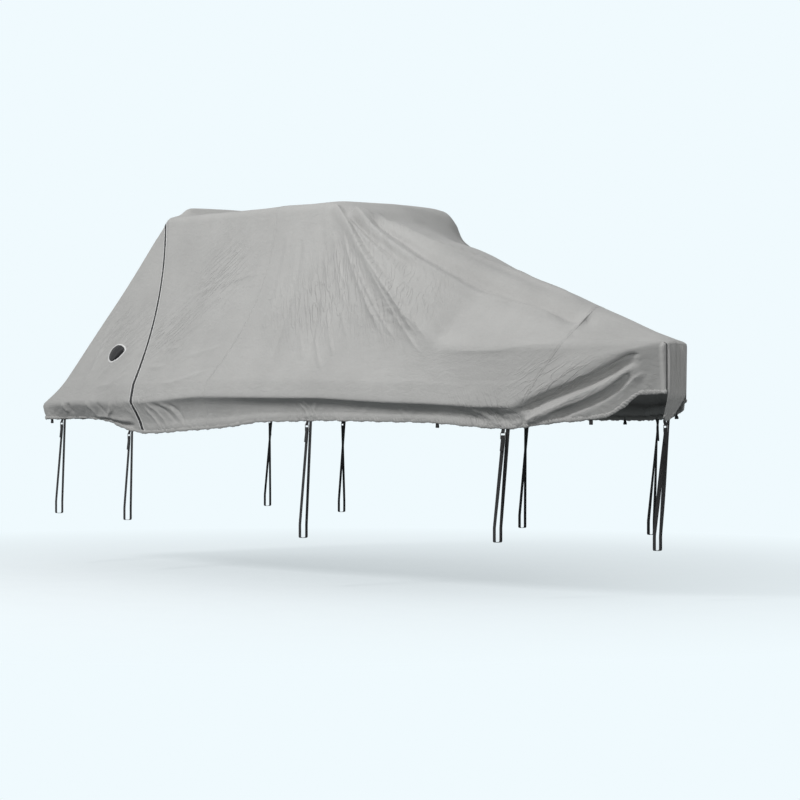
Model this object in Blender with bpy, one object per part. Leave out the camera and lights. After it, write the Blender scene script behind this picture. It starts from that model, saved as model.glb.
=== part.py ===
"""Fitted cover for a 6.4 m boat with a hard top: sewn cloth panels, zip, vent, tie-down straps and loops.

Metres. +X points to the bow, +Y to port and +Z up. The origin is the middle of the hard top's upper face,
which carries the cover: the cloth's underside lies on it there.
"""

import math

import bmesh
import bpy
import numpy as np
from mathutils import Matrix, Vector
from mathutils.bvhtree import BVHTree

# ---------------------------------------------------------------- driving sizes
CLOTH = 0.0025  # coated cloth with its seam turnings
SEAM_GAP = 0.0008  # between two panels at a seam
LAP = 0.0005  # between a piece and the cloth that it is sewn to

WEBBING_WIDTH = 0.030
WEBBING = 0.0020
LOOP_WIDTH = 0.025
CLEAR = 0.0005  # between the webbing and what it passes round
SEWN = 0.0008  # between the webbing and the hem that it is sewn inside
BEAM_WIDTH, BEAM_HEIGHT = 0.060, 0.100  # what each strap passes round, which isn't part of this

# The six lines that shape one side, from the middle of the boat to the hem. Each row is
# x, half-width, height: the rows follow the boat from its stern to its nose.
CENTRE = (
    (-1.19, 0.0, -0.075),
    (-1.165, 0.0, -0.035),
    (-1.10, 0.0, -0.002),
    (-0.90, 0.0, 0.0025),
    (0.95, 0.0, 0.0025),
    (1.10, 0.0, -0.008),
    (1.22, 0.0, -0.075),
    (1.36, 0.0, -0.190),
    (1.62, 0.0, -0.290),
    (2.04, 0.0, -0.400),
    (2.63, 0.0, -0.622),
    (3.21, 0.0, -0.821),
    (3.93, 0.0, -1.068),
    (4.21, 0.0, -1.163),
)
RIM_STARBOARD = (
    (-1.19, 0.62, -0.078),
    (-1.165, 0.61, -0.042),
    (-1.10, 0.56, -0.012),
    (-0.90, 0.50, -0.010),
    (1.05, 0.50, -0.010),
    (1.22, 0.53, -0.050),
    (1.50, 0.54, -0.150),
    (1.82, 0.52, -0.262),
    (2.10, 0.47, -0.390),
    (2.40, 0.40, -0.505),
    (2.74, 0.33, -0.645),
    (3.30, 0.22, -0.855),
    (3.80, 0.12, -1.030),
    (4.215, 0.06, -1.166),
)
RIM_PORT = (
    (-1.19, 0.62, -0.078),
    (-1.165, 0.61, -0.042),
    (-1.10, 0.56, -0.012),
    (-0.90, 0.50, -0.010),
    (1.02, 0.50, -0.020),
    (1.12, 0.52, -0.078),
    (1.22, 0.50, -0.195),
    (1.40, 0.46, -0.335),
    (1.80, 0.42, -0.480),
    (2.40, 0.38, -0.720),
    (3.00, 0.32, -0.905),
    (3.60, 0.20, -1.045),
    (4.215, 0.06, -1.168),
)
SHOULDER_STARBOARD = (
    (-1.14, 0.655, -0.078),
    (-1.08, 0.660, -0.035),
    (1.05, 0.650, -0.030),
    (1.14, 0.640, -0.053),
    (1.29, 0.660, -0.165),
    (1.69, 0.761, -0.445),
    (2.14, 0.878, -0.735),
    (2.42, 0.945, -0.925),
    (2.63, 0.975, -1.085),
    (2.79, 0.965, -1.185),
    (3.10, 0.870, -1.195),
    (3.43, 0.719, -1.187),
    (3.73, 0.554, -1.183),
    (4.05, 0.325, -1.178),
    (4.22, 0.115, -1.175),
)
SHOULDER_PORT = (
    (-1.14, 0.655, -0.078),
    (-1.08, 0.660, -0.035),
    (1.02, 0.645, -0.045),
    (1.12, 0.640, -0.110),
    (1.18, 0.655, -0.240),
    (1.28, 0.700, -0.350),
    (1.70, 0.800, -0.610),
    (2.20, 0.910, -0.880),
    (2.63, 0.970, -1.120),
    (2.79, 0.960, -1.200),
    (3.10, 0.870, -1.200),
    (3.43, 0.719, -1.187),
    (4.05, 0.325, -1.178),
    (4.22, 0.115, -1.175),
)
KNEE = (
    (-2.07, 1.120, -1.465),
    (-0.84, 1.190, -1.455),
    (0.50, 1.200, -1.430),
    (1.70, 1.190, -1.440),
    (2.44, 1.100, -1.460),
    (3.17, 0.885, -1.470),
    (3.45, 0.750, -1.460),
    (3.81, 0.552, -1.330),
    (4.10, 0.312, -1.225),
    (4.225, 0.117, -1.186),
)
GUNWALE = (
    (-2.23, 1.190, -1.630),
    (-1.46, 1.214, -1.613),
    (-0.74, 1.231, -1.609),
    (0.17, 1.235, -1.563),
    (1.12, 1.235, -1.572),
    (1.62, 1.223, -1.575),
    (2.04, 1.194, -1.591),
    (2.44, 1.132, -1.610),
    (2.80, 1.046, -1.622),
    (3.17, 0.917, -1.640),
    (3.42, 0.800, -1.643),
    (3.58, 0.701, -1.573),
    (3.81, 0.549, -1.460),
    (4.10, 0.307, -1.277),
    (4.23, 0.120, -1.200),
)
HEM_STARBOARD = (
    (-2.22, 1.170, -1.752),
    (-2.00, 1.130, -1.748),
    (-1.64, 1.126, -1.742),
    (-1.36, 1.138, -1.757),
    (-0.98, 1.148, -1.836),
    (-0.72, 1.152, -1.861),
    (-0.15, 1.155, -1.836),
    (0.48, 1.155, -1.797),
    (0.89, 1.155, -1.758),
    (1.95, 1.123, -1.742),
    (2.73, 0.986, -1.755),
    (3.29, 0.788, -1.792),
    (3.61, 0.626, -1.751),
    (3.93, 0.395, -1.706),
    (4.00, 0.335, -1.655),
    (4.12, 0.225, -1.545),
    (4.22, 0.120, -1.542),
)
HEM_PORT = (
    (-2.22, 1.170, -1.752),
    (-2.00, 1.130, -1.748),
    (-0.98, 1.148, -1.765),
    (0.48, 1.155, -1.762),
    (1.95, 1.123, -1.742),
    (2.73, 0.986, -1.745),
    (3.29, 0.788, -1.735),
    (3.61, 0.626, -1.715),
    (3.93, 0.395, -1.680),
    (4.12, 0.225, -1.670),
    (4.22, 0.120, -1.600),
)
LINE_NAMES = ("centre", "rim", "shoulder", "knee", "gunwale", "hem")

# How the cross lines of the cloth run: each row gives their x on the six lines, and how far the stretch
# from shoulder to knee bows towards the bow.
STATIONS = (
    # centre, rim, shoulder, knee, gunwale, hem, bow
    (-1.19, -1.19, -1.14, -0.84, -0.83, -0.74, 0.07),
    (-1.10, -1.10, -1.07, -0.78, -0.77, -0.68, 0.07),
    (-0.40, -0.40, -0.40, -0.34, -0.34, -0.30, 0.11),
    (0.45, 0.44, 0.43, 0.22, 0.19, 0.15, 0.17),
    (1.00, 1.00, 0.99, 1.00, 1.00, 1.00, 0.08),
    (1.22, 1.22, 1.17, 1.30, 1.30, 1.30, 0.03),
    (1.62, 1.62, 1.55, 1.66, 1.66, 1.66, 0.0),
    (2.63, 2.66, 2.72, 2.64, 2.62, 2.60, 0.0),
    (3.45, 3.54, 3.665, 3.52, 3.45, 3.42, 0.0),
    (4.225, 4.225, 4.225, 4.225, 4.225, 4.225, 0.0),
)
ZIP_STATION, SEAM_A, SEAM_B, NOSE_STATION = -1.19, 0.45, 3.45, 4.21  # where the panels meet

# The stern below the hard top: where the lines turn the corner, and how round it is in plan.
STERN_CORNERS = {"knee": (-2.10, 1.125), "gunwale": (-2.29, 1.215), "hem": (-2.27, 1.185)}
STERN_ROUND = 0.10
CORNER_LAP = 0.15  # how far inboard of the corner the rim's column lands

# Softness of the bends at rim, shoulder, knee and gunwale: the cloth leaves the straight this far from each.
BENDS = {"rim": 0.10, "shoulder": 0.06, "knee": 0.10, "gunwale": 0.035}
SAG_SIDE, SAG_STERN = 0.035, 0.030
# The nose is pulled to starboard: how much of its half-width port keeps there.
PORT_SHARE = ((3.40, 1.0), (3.81, 0.92), (4.05, 0.79), (4.22, 0.73))

# The raised bar across the hard top's aft edge.
BAR_X, BAR_HALF_LENGTH, BAR_RISE, BAR_WIDTH = -1.085, 0.50, 0.070, 0.055

# Main folds. From a place on the cover to another, each as station x and line number (0 centre to 5 hem,
# negative to port); width across and lift (ridge) or sink (trough), in metres.
FOLDS = (
    # from x, from line, to x, to line, width, lift
    (1.25, 1.75, 2.35, 1.45, 0.085, -0.040),
    (2.30, 1.45, 3.70, 1.35, 0.100, -0.022),
    (1.22, 1.85, 3.30, 1.75, 0.065, 0.022),
    (1.20, 1.95, 2.30, 2.00, 0.070, 0.018),
    (1.30, 1.93, 2.40, 1.93, 0.060, -0.022),
    (3.41, 4.12, 4.12, 4.12, 0.075, -0.055),
    (3.47, 4.70, 4.10, 4.30, 0.060, 0.022),
    (3.62, 4.80, 4.08, 4.45, 0.055, -0.030),
    (1.05, 2.10, 1.35, 2.85, 0.070, -0.012),
    (0.80, 2.20, 0.95, 2.90, 0.060, -0.010),
    (0.62, 2.15, 0.70, 2.70, 0.060, 0.008),
    (1.20, -1.90, 2.40, -1.30, 0.090, -0.022),
    (1.10, -2.10, 1.80, -2.90, 0.080, -0.014),
    (3.10, -4.30, 4.10, -4.10, 0.070, -0.030),
    (-0.50, -2.20, -0.20, -2.90, 0.070, -0.010),
    (2.90, 0.0, 4.00, 0.0, 0.090, 0.006),
)

# The curtain that closes the nose, from its top seam down: height, half-width, middle and x.
NOSE = (
    (-1.172, 0.094, -0.015, 4.2330),
    (-1.190, 0.096, -0.015, 4.2440),
    (-1.250, 0.096, -0.015, 4.2460),
    (-1.450, 0.095, -0.015, 4.2460),
    (-1.550, 0.092, -0.015, 4.2430),
    (-1.620, 0.075, -0.020, 4.2180),
    (-1.680, 0.056, -0.028, 4.1900),
    (-1.735, 0.044, -0.030, 4.1600),
)
DECK_NORMAL = (0.32, 0.0, 0.947)  # of the deck's front edge, where the curtain is sewn on
NOSE_ROWS = (0.0, 0.03, 0.08, 0.16, 0.28, 0.40, 0.52, 0.64, 0.74, 0.83, 0.92, 1.0)
NOSE_COLUMNS = (-1.0, -0.88, -0.7, -0.5, -0.3, -0.1, 0.1, 0.3, 0.5, 0.7, 0.88, 1.0)
NOSE_HEM = ((-1.0, -1.700), (-0.4, -1.728), (0.2, -1.735), (0.6, -1.720), (1.0, -1.680))
NOSE_FOLDS = (
    # across (-1 starboard to 1 port), width, lift, height where it starts, height where it ends
    (-0.55, 0.22, 0.007, -1.20, -1.72),
    (-0.10, 0.20, -0.006, -1.40, -1.72),
    (0.10, 0.16, -0.012, -1.17, -1.42),
    (0.45, 0.24, 0.008, -1.20, -1.70),
)

# Tie-down straps. x at the hem, how far aft the foot is, and the height of the foot.
STRAPS = (
    # name, x, slant, foot height
    ("stern", -2.01, 0.055, -2.52),
    ("aft", -0.95, 0.035, -2.54),
    ("mid", 1.46, 0.060, -2.59),
    ("fore", 3.29, 0.075, -2.56),
)
NOSE_STRAP = (4.148, -0.030, -1.735)  # where the nose strap leaves the curtain's hem
NOSE_SLANT, NOSE_FOOT = 0.075, -2.61
STRAP_SHIFT, BUCKLE_SHIFT = 0.020, -0.016  # along the hem, from the strap's middle
BUCKLE_DROP, LEAN = 0.050, 0.009  # hem to buckle's middle, and how far the buckle hangs out from the hem
TAIL = 0.085  # free end below the buckle
HEM_GRIP, SEAM_DROP = 0.022, 0.004  # how far up inside the hem the webbing is sewn, and where its first bend is

BUCKLE_WIDTH, BUCKLE_HEIGHT, BUCKLE_PLATE = 0.042, 0.050, 0.004
BUCKLE_RAIL, BUCKLE_BAR = 0.005, 0.006  # its outer frame, and the bar between its two windows

# Empty webbing loops at the hem: x, and how far each hangs.
LOOPS = (("stern", -2.17, 0.034), ("mid", 2.76, 0.030), ("fore", 3.84, 0.034))
LOOP_GAP = 0.013
SHOULDER_DROP = 0.7  # share of a loop's hang where its legs are fully apart
LEGS = 0.0034  # between the middles of a loop's two legs where they are sewn in

# Zip tape over each seam, and the vent's outline: a teardrop with its point up and forward.
ZIP_WIDTH, ZIP_TAPE = 0.016, 0.0015
VENT_X, VENT_Z = -1.300, -1.186
VENT_LENGTH, VENT_WIDTH, VENT_LAP = 0.235, 0.145, 0.0008
VENT_POINTS_TO = (0.93, 0.0, 0.36)
VENT_RINGS = (
    # share of its outline, rise above the cloth
    (1.00, 0.0),
    (1.00, 0.0030),
    (0.90, 0.0030),
    (0.84, 0.0100),
    (0.60, 0.0180),
    (0.30, 0.0200),
)

# Rows and columns of each panel. A row is how far along its stretch each cell ends.
CENTRE_CELLS = (0.35, 0.70, 1.0)
RIM_CELLS = (0.15, 0.30, 0.45, 0.60, 0.74, 0.88, 1.0)
SIDE_CELLS = (0.035, 0.13, 0.27, 0.42, 0.57, 0.72, 0.86, 1.0)
KNEE_CELLS = (0.50, 1.0)
HEM_CELLS = (0.18, 0.42, 0.72, 1.0)
SPANS = (
    # from station, to station, cells
    (-1.19, -1.10, 2),
    (-1.10, -1.04, 2),
    (-1.04, 0.45, 8),
    (0.45, 1.02, 4),
    (1.02, 1.36, 4),
    (1.36, 3.45, 14),
    (3.45, 4.21, 8),
)


# ---------------------------------------------------------------- smooth tables
def smooth(x, xs, ys):
    """Cubic through the points that never overshoots them."""
    xs, ys = np.asarray(xs, float), np.asarray(ys, float)
    step = np.diff(xs)
    slope = np.diff(ys) / step
    tangent = np.zeros_like(ys)
    tangent[0], tangent[-1] = slope[0], slope[-1]
    for i in range(1, len(xs) - 1):
        if slope[i - 1] * slope[i] > 0:
            before, after = 2 * step[i] + step[i - 1], step[i] + 2 * step[i - 1]
            tangent[i] = (before + after) / (before / slope[i - 1] + after / slope[i])
    i = np.clip(np.searchsorted(xs, x, side="right") - 1, 0, len(xs) - 2)
    t = np.clip((x - xs[i]) / step[i], 0.0, 1.0)
    return (
        ys[i] * (1 + 2 * t) * (1 - t) ** 2
        + tangent[i] * step[i] * t * (1 - t) ** 2
        + ys[i + 1] * t**2 * (3 - 2 * t)
        + tangent[i + 1] * step[i] * t**2 * (t - 1)
    )


def line_table(name, side):
    """The rows of a named line on one side: side is -1 for starboard and 1 for port."""
    starboard = side < 0
    tables = {
        "centre": CENTRE,
        "rim": RIM_STARBOARD if starboard else RIM_PORT,
        "shoulder": SHOULDER_STARBOARD if starboard else SHOULDER_PORT,
        "knee": KNEE,
        "gunwale": GUNWALE,
        "hem": HEM_STARBOARD if starboard else HEM_PORT,
    }
    return np.array(tables[name])


def on_line(name, side, x):
    """Point of a named line at x."""
    table = line_table(name, side)
    half = smooth(x, table[:, 0], table[:, 1])
    if side > 0:
        share = np.array(PORT_SHARE)
        half *= smooth(x, share[:, 0], share[:, 1])
    height = smooth(x, table[:, 0], table[:, 2])
    return np.array([x, side * half, height])


def station_value(column, station):
    rows = np.array(STATIONS)
    return smooth(station, rows[:, 0], rows[:, column])


# ---------------------------------------------------------------- the cover's surface
def bend(corners, softness, line, part):
    """Point on a chain of straights whose corners are rounded; line is the corner before it, part 0 to 1."""
    a, b = corners[line], corners[line + 1]
    length = np.linalg.norm(b - a)
    point = a + (b - a) * part
    for corner, along in ((line, part * length), (line + 1, (1 - part) * length)):
        if corner == 0 or corner == len(corners) - 1:
            continue
        before, here, after = corners[corner - 1], corners[corner], corners[corner + 1]
        reach = min(
            softness[corner],
            0.48 * np.linalg.norm(here - before),
            0.48 * np.linalg.norm(after - here),
        )
        if along < reach:
            other = after if corner == line + 1 else before
            away = (other - here) / np.linalg.norm(other - here)
            inward = ((b if corner == line else a) - here) / length
            pull = (reach - along) ** 2 / (4 * reach)
            point = here + inward * (along + pull) + away * pull
    return point


def softness():
    return [0.0] + [BENDS[name] for name in LINE_NAMES[1:5]] + [0.0]


def section_corners(station, side):
    return [
        on_line(name, side, station_value(column, station))
        for column, name in enumerate(LINE_NAMES)
    ]


def side_sag(corners, side, part, bow, sag):
    """How a point between shoulder and knee moves: towards the bow, and inwards."""
    down = corners[3] - corners[2]
    outward = np.array([0.0, side * abs(down[2]), abs(down[1])])
    belly = 4 * part * (1 - part)
    return np.array([bow * belly, 0.0, 0.0]) - outward / np.linalg.norm(outward) * sag * belly


def section_point(station, across):
    """Point of the cover's outer face. across runs from -5, the port hem, to 5, the starboard hem."""
    side = -1 if across >= 0 else 1
    line = min(int(abs(across)), 4)
    part = abs(across) - line
    corners = section_corners(station, side)
    point = bend(corners, softness(), line, part)
    if line == 0:
        crown = corners[0] + (corners[1] - corners[0]) * part
        crown[2] = corners[0][2] + (corners[1][2] - corners[0][2]) * part ** (2 if side < 0 else 1.4)
        blend = 1 - part**6
        point = point * (1 - blend) + crown * blend
    if line == 2:
        fade = smooth(station, (-2.0, 1.0, 2.2, 3.0, 4.2), (1.0, 1.0, 0.6, 0.15, 0.0))
        point = point + side_sag(corners, side, part, station_value(6, station), SAG_SIDE * fade)
    if abs(across) < 1.2:
        reach = math.exp(-(((station - BAR_X) / BAR_WIDTH) ** 2))
        point[2] += BAR_RISE * reach / (1 + math.exp((abs(point[1]) - BAR_HALF_LENGTH) / 0.02))
    return point


def stern_outline(name, side, across):
    """Point of the knee, gunwale or hem line round the stern; across is 2 at the zip line and 0 amidships."""
    corner_x, corner_half = STERN_CORNERS[name]
    column = LINE_NAMES.index(name)
    foot_x = station_value(column, ZIP_STATION)
    quarter = foot_x - corner_x + CORNER_LAP
    if across >= 1:
        run = quarter * (1 - (across - 1) ** 1.25)
    else:
        run = quarter + (corner_half - CORNER_LAP) * (1 - across)
    to_corner = foot_x - corner_x
    if run < to_corner - STERN_ROUND:
        return on_line(name, side, foot_x - run)
    start = on_line(name, side, corner_x + STERN_ROUND)
    corner = np.array([corner_x, side * corner_half, start[2]])
    if run > to_corner + STERN_ROUND:
        return np.array([corner_x, side * (corner_half - (run - to_corner)), start[2]])
    t = (run - to_corner + STERN_ROUND) / (2 * STERN_ROUND)
    end = corner - np.array([0.0, side * STERN_ROUND, 0.0])
    return start * (1 - t) ** 2 + corner * 2 * t * (1 - t) + end * t**2


def stern_point(across, down):
    """Point of the stern panel: across -2 to 2 between the two zip lines, down 2 at its top to 5 at its hem."""
    side = -1 if across >= 0 else 1
    column = abs(across)
    top = section_point(ZIP_STATION, across)
    corners = [top, top, top] + [stern_outline(name, side, column) for name in LINE_NAMES[3:]]
    line = min(int(down), 4)
    part = down - line
    chain = [0.0, 0.0, 0.0, BENDS["knee"], BENDS["gunwale"], 0.0]
    point = bend(corners[2:], chain[2:], line - 2, part)
    if line == 2:
        at_zip = smooth(column, (0.0, 1.0, 1.5, 2.0), (0.0, 0.0, 0.2, 1.0))
        belly = 4 * part * (1 - part)
        slope = corners[3] - corners[2]
        outward = np.array([-abs(slope[2]) * (1 - at_zip), side * abs(slope[2]) * column / 2, 0.5])
        outward = outward / np.linalg.norm(outward)
        at_crease = math.exp(-(((column - 1.0) / 0.35) ** 2))
        point = point - outward * SAG_STERN * (1 - at_zip) * (1 - at_crease) * belly
        zip_sag = side_sag(corners, side, part, station_value(6, ZIP_STATION), SAG_SIDE)
        point = point + zip_sag * at_zip
    return point


# ---------------------------------------------------------------- folds
def normals_of(grid):
    """Outward normal at each point of a grid of points: rows run aft to fore, columns port to starboard."""
    along, across = np.gradient(grid, axis=0), np.gradient(grid, axis=1)
    normal = np.cross(across, along)
    return normal / np.linalg.norm(normal, axis=2, keepdims=True)


def fold_lift(points):
    """How far the main folds lift or sink each point."""
    lift = np.zeros(points.shape[:-1])
    for from_x, from_line, to_x, to_line, width, height in FOLDS:
        steps = np.linspace(0.0, 1.0, 9)
        route = np.array(
            [
                section_point(from_x + (to_x - from_x) * t, from_line + (to_line - from_line) * t)
                for t in steps
            ]
        )
        nearest = np.full(lift.shape, 1e9)
        place = np.zeros(lift.shape)
        for i in range(len(route) - 1):
            a, b = route[i], route[i + 1]
            t = np.clip((points - a) @ (b - a) / np.dot(b - a, b - a), 0.0, 1.0)
            distance = np.linalg.norm(points - (a + t[..., None] * (b - a)), axis=-1)
            closer = distance < nearest
            nearest = np.where(closer, distance, nearest)
            place = np.where(closer, (i + t) / (len(route) - 1), place)
        ends = np.clip(np.minimum(place, 1 - place) / 0.18, 0.0, 1.0)
        lift += height * np.exp(-((nearest / (0.5 * width)) ** 2)) * np.sqrt(ends)
    return lift


def uneven(points):
    """Slow waves of the slack cloth, a few millimetres high."""
    x, y, z = points[..., 0], points[..., 1], points[..., 2]
    waves = np.sin(5.1 * x + 2.3 * y - 1.7 * z) * np.sin(3.7 * z + 1.9 * x + 0.8)
    waves += 0.6 * np.sin(9.3 * x - 4.1 * z + 1.1) * np.sin(6.2 * y + 2.0 * x)
    on_roof = np.exp(-((x / 0.5) ** 2) - (y / 0.4) ** 2) * (z > -0.1)
    return 0.004 * waves * (1 - on_roof)


def moved_by_folds(grid, outward):
    """The grid with its folds and slow waves, which die out along the zips and the roof's aft seam."""
    x, y, z = grid[..., 0], grid[..., 1], grid[..., 2]
    at_zip = np.exp(-(((x + 0.95) / 0.25) ** 2)) * (np.abs(y) > 0.6)
    at_bar = np.exp(-(((x + 1.19) / 0.10) ** 2)) * (z > -0.2)
    at_nose = np.exp(-(((x - 4.225) / 0.04) ** 2))
    lift = (fold_lift(grid) + uneven(grid) * (1 - at_zip)) * (1 - at_bar) * (1 - at_nose)
    return grid + outward * lift[..., None]


def half_columns():
    """Places across one side, from the middle to the hem."""
    columns = [0.0]
    for line, cells in enumerate((CENTRE_CELLS, RIM_CELLS, SIDE_CELLS, KNEE_CELLS, HEM_CELLS)):
        columns += [line + part for part in cells]
    return columns


def across_columns():
    half = half_columns()
    return [-place for place in half[:0:-1]] + half


def station_rows():
    rows = [SPANS[0][0]]
    for start, end, cells in SPANS:
        rows += [start + (end - start) * (i + 1) / cells for i in range(cells)]
    return rows


# ---------------------------------------------------------------- making meshes
def collection_named(name):
    found = bpy.data.collections.new(name)
    bpy.context.scene.collection.children.link(found)
    return found


def material(name, colour, roughness, metallic=0.0):
    made = bpy.data.materials.new(name)
    made.use_nodes = True
    shader = made.node_tree.nodes["Principled BSDF"]
    shader.inputs["Base Color"].default_value = (*colour, 1.0)
    shader.inputs["Roughness"].default_value = roughness
    shader.inputs["Metallic"].default_value = metallic
    return made


def add_object(name, mesh, finish):
    item = bpy.data.objects.new(name, mesh)
    cover.objects.link(item)
    item.data.materials.append(finish)
    item.data.shade_smooth()
    item.data.set_sharp_from_angle(angle=math.radians(40))
    return item


def solid_sheet(name, outer, inner, finish):
    """A closed sheet between two grids of points of the same size. Both layers are cut on the same diagonals."""
    rows, columns = outer.shape[:2]
    made = bmesh.new()
    layers = [[[made.verts.new(Vector(p)) for p in row] for row in grid] for grid in (outer, inner)]
    top, under = layers
    for i in range(rows - 1):
        for j in range(columns - 1):
            cell = ((i, j), (i, j + 1), (i + 1, j + 1), (i + 1, j))
            a, b, c, d = (outer[place] for place in cell)
            if np.linalg.norm(a - c) <= np.linalg.norm(b - d):
                halves = ((0, 1, 2), (0, 2, 3))
            else:
                halves = ((0, 1, 3), (1, 2, 3))
            for half in halves:
                places = [cell[k] for k in half]
                made.faces.new([top[k][m] for k, m in places])
                made.faces.new([under[k][m] for k, m in places[::-1]])
    ring = [(0, j) for j in range(columns)] + [(i, columns - 1) for i in range(1, rows)]
    ring += [(rows - 1, j) for j in range(columns - 2, -1, -1)]
    ring += [(i, 0) for i in range(rows - 2, 0, -1)]
    for (i, j), (k, m) in zip(ring, ring[1:] + ring[:1]):
        made.faces.new((top[k][m], top[i][j], under[i][j], under[k][m]))
    bmesh.ops.recalc_face_normals(made, faces=made.faces)
    mesh = bpy.data.meshes.new(name)
    made.to_mesh(mesh)
    made.free()
    return add_object(name, mesh, finish)


def sheet(name, grid, outward, finish, thickness=CLOTH):
    """A cloth panel: its outer face is the grid, and its thickness lies inside."""
    return solid_sheet(name, grid, grid - outward * thickness, finish)


def edge_of(grid, edge):
    """The grid turned so that one edge is its first row: edge is first, last, left or right."""
    if edge == "first":
        return grid
    if edge == "last":
        return grid[::-1]
    return grid.transpose(1, 0, 2) if edge == "left" else grid[:, ::-1].transpose(1, 0, 2)


def drawn_in(grid, *edges):
    """The grid with its named edges drawn back by half a seam gap."""
    grid = grid.copy()
    for edge in edges:
        view = edge_of(grid, edge)
        step = view[1] - view[0]
        view[0] += step / np.linalg.norm(step, axis=-1, keepdims=True) * SEAM_GAP / 2
    return grid


def body_grid():
    columns = across_columns()
    return np.array([[section_point(s, across) for across in columns] for s in station_rows()])


def stern_grid():
    half = half_columns()
    top = [place for place in across_columns() if abs(place) <= 2]
    rows = [place for place in half if place >= 2]
    return np.array([[stern_point(across, down) for across in top] for down in rows[::-1]])


def shared_normals(body, stern):
    """Normals of both grids, equal where the stern panel meets the aft panel."""
    of_body, of_stern = normals_of(body), normals_of(stern)
    columns = across_columns()
    first, last = columns.index(-2), columns.index(2)
    for mine, edge in (
        (of_body[0, : first + 1], of_stern[:, 0]),
        (of_body[0, first : last + 1], of_stern[-1]),
        (of_body[0, last:], of_stern[::-1, -1]),
    ):
        both = mine + edge
        both /= np.linalg.norm(both, axis=-1, keepdims=True)
        mine[:] = both
        edge[:] = both
    return of_body, of_stern


def cloth_grids():
    """Outer faces of body and stern with their normals, folds in."""
    body, stern = body_grid(), stern_grid()
    of_body, of_stern = shared_normals(body, stern)
    body = moved_by_folds(body, of_body)
    stern = moved_by_folds(stern, of_stern)
    of_body, of_stern = shared_normals(body, stern)
    return body, of_body, stern, of_stern


def cloth_panels(body, of_body, stern, of_stern):
    rows = np.array(station_rows())
    seam_a, seam_b = (int(np.argmin(np.abs(rows - seam))) for seam in (SEAM_A, SEAM_B))
    aft, middle = slice(0, seam_a + 1), slice(seam_a, seam_b + 1)
    sheet("aft_panel", drawn_in(body[aft], "first", "last"), of_body[aft], cloth)
    sheet("middle_panel", drawn_in(body[middle], "first", "last"), of_body[middle], cloth)
    sheet("bow_panel", drawn_in(body[seam_b:], "first"), of_body[seam_b:], cloth)
    sheet("stern_panel", drawn_in(stern, "last", "left", "right"), of_stern, cloth)


def nose_grid():
    """The curtain: rows from its top seam to its hem, columns from starboard to port, with its normals."""
    table, hem = np.array(NOSE), np.array(NOSE_HEM)
    rows = []
    for down in NOSE_ROWS:
        row = []
        for across in NOSE_COLUMNS:
            top = section_point(NOSE_STATION, -2 * across) + np.array([SEAM_GAP, 0.0, 0.0])
            height = top[2] + (smooth(across, hem[:, 0], hem[:, 1]) - top[2]) * down
            half, middle, x = (smooth(-height, -table[:, 0], table[:, i]) for i in (1, 2, 3))
            for at, width, lift, start, end in NOSE_FOLDS:
                along = (height - start) / (end - start)
                if 0 < along < 1:
                    swell = math.sin(math.pi * along**0.6)
                    x += lift * swell * math.exp(-(((across - at) / width) ** 2))
            row.append(top if down == 0 else (x, middle + across * half, height))
        rows.append(row)
    grid = np.array(rows)
    outward = -normals_of(grid)
    outward[0] = DECK_NORMAL
    return grid, outward


def zip_tape(name, edge, near_aft, near_stern, outward):
    """A strip that lies over a seam: edge is the seam's points, near_* the next points of the two panels."""
    rows = []
    for point, aft, stern, normal in zip(edge, near_aft, near_stern, outward):
        lifted = point + normal * LAP
        to_aft = (aft - point) / np.linalg.norm(aft - point)
        to_stern = (stern - point) / np.linalg.norm(stern - point)
        rows.append([lifted + to_stern * ZIP_WIDTH / 2, lifted, lifted + to_aft * ZIP_WIDTH / 2])
    under = np.array(rows)
    solid_sheet(name, under + outward[:, None] * ZIP_TAPE, under, black)


def zips(body, of_body, stern):
    """The two zips run down from just below the roof's aft corners to the hem."""
    columns = across_columns()
    port = slice(0, columns.index(-2))
    starboard = slice(columns.index(2) + 1, None)
    beside = {"port": stern[:, 1][:-1], "starboard": stern[::-1, -2][1:]}
    for name, part in (("port", port), ("starboard", starboard)):
        zip_tape("zip_" + name, body[0, part], body[1, part], beside[name], of_body[0, part])


def tree_of(name):
    mesh = bpy.data.objects[name].data
    points = [vert.co.copy() for vert in mesh.vertices]
    return BVHTree.FromPolygons(points, [tuple(face.vertices) for face in mesh.polygons])


def vent_ring(tree, centre, normal, share, rise, count=20):
    """A ring of the vent: its outline shrunk to a share, at a height above the cloth."""
    long_axis = Vector(VENT_POINTS_TO)
    long_axis = (long_axis - normal * long_axis.dot(normal)).normalized()
    short_axis = normal.cross(long_axis).normalized()
    ring = []
    for i in range(count):
        turn = 2 * math.pi * i / count
        taper = 1 - 0.55 * (0.5 + 0.5 * math.cos(turn)) ** 2
        along = 0.5 * VENT_LENGTH * math.cos(turn) * share
        aside = 0.5 * VENT_WIDTH * math.sin(turn) * taper * share
        place = centre + long_axis * along + short_axis * aside
        foot = tree.ray_cast(place + normal * 0.2, -normal)[0]
        ring.append(foot + normal * (VENT_LAP + rise))
    return ring


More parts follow.
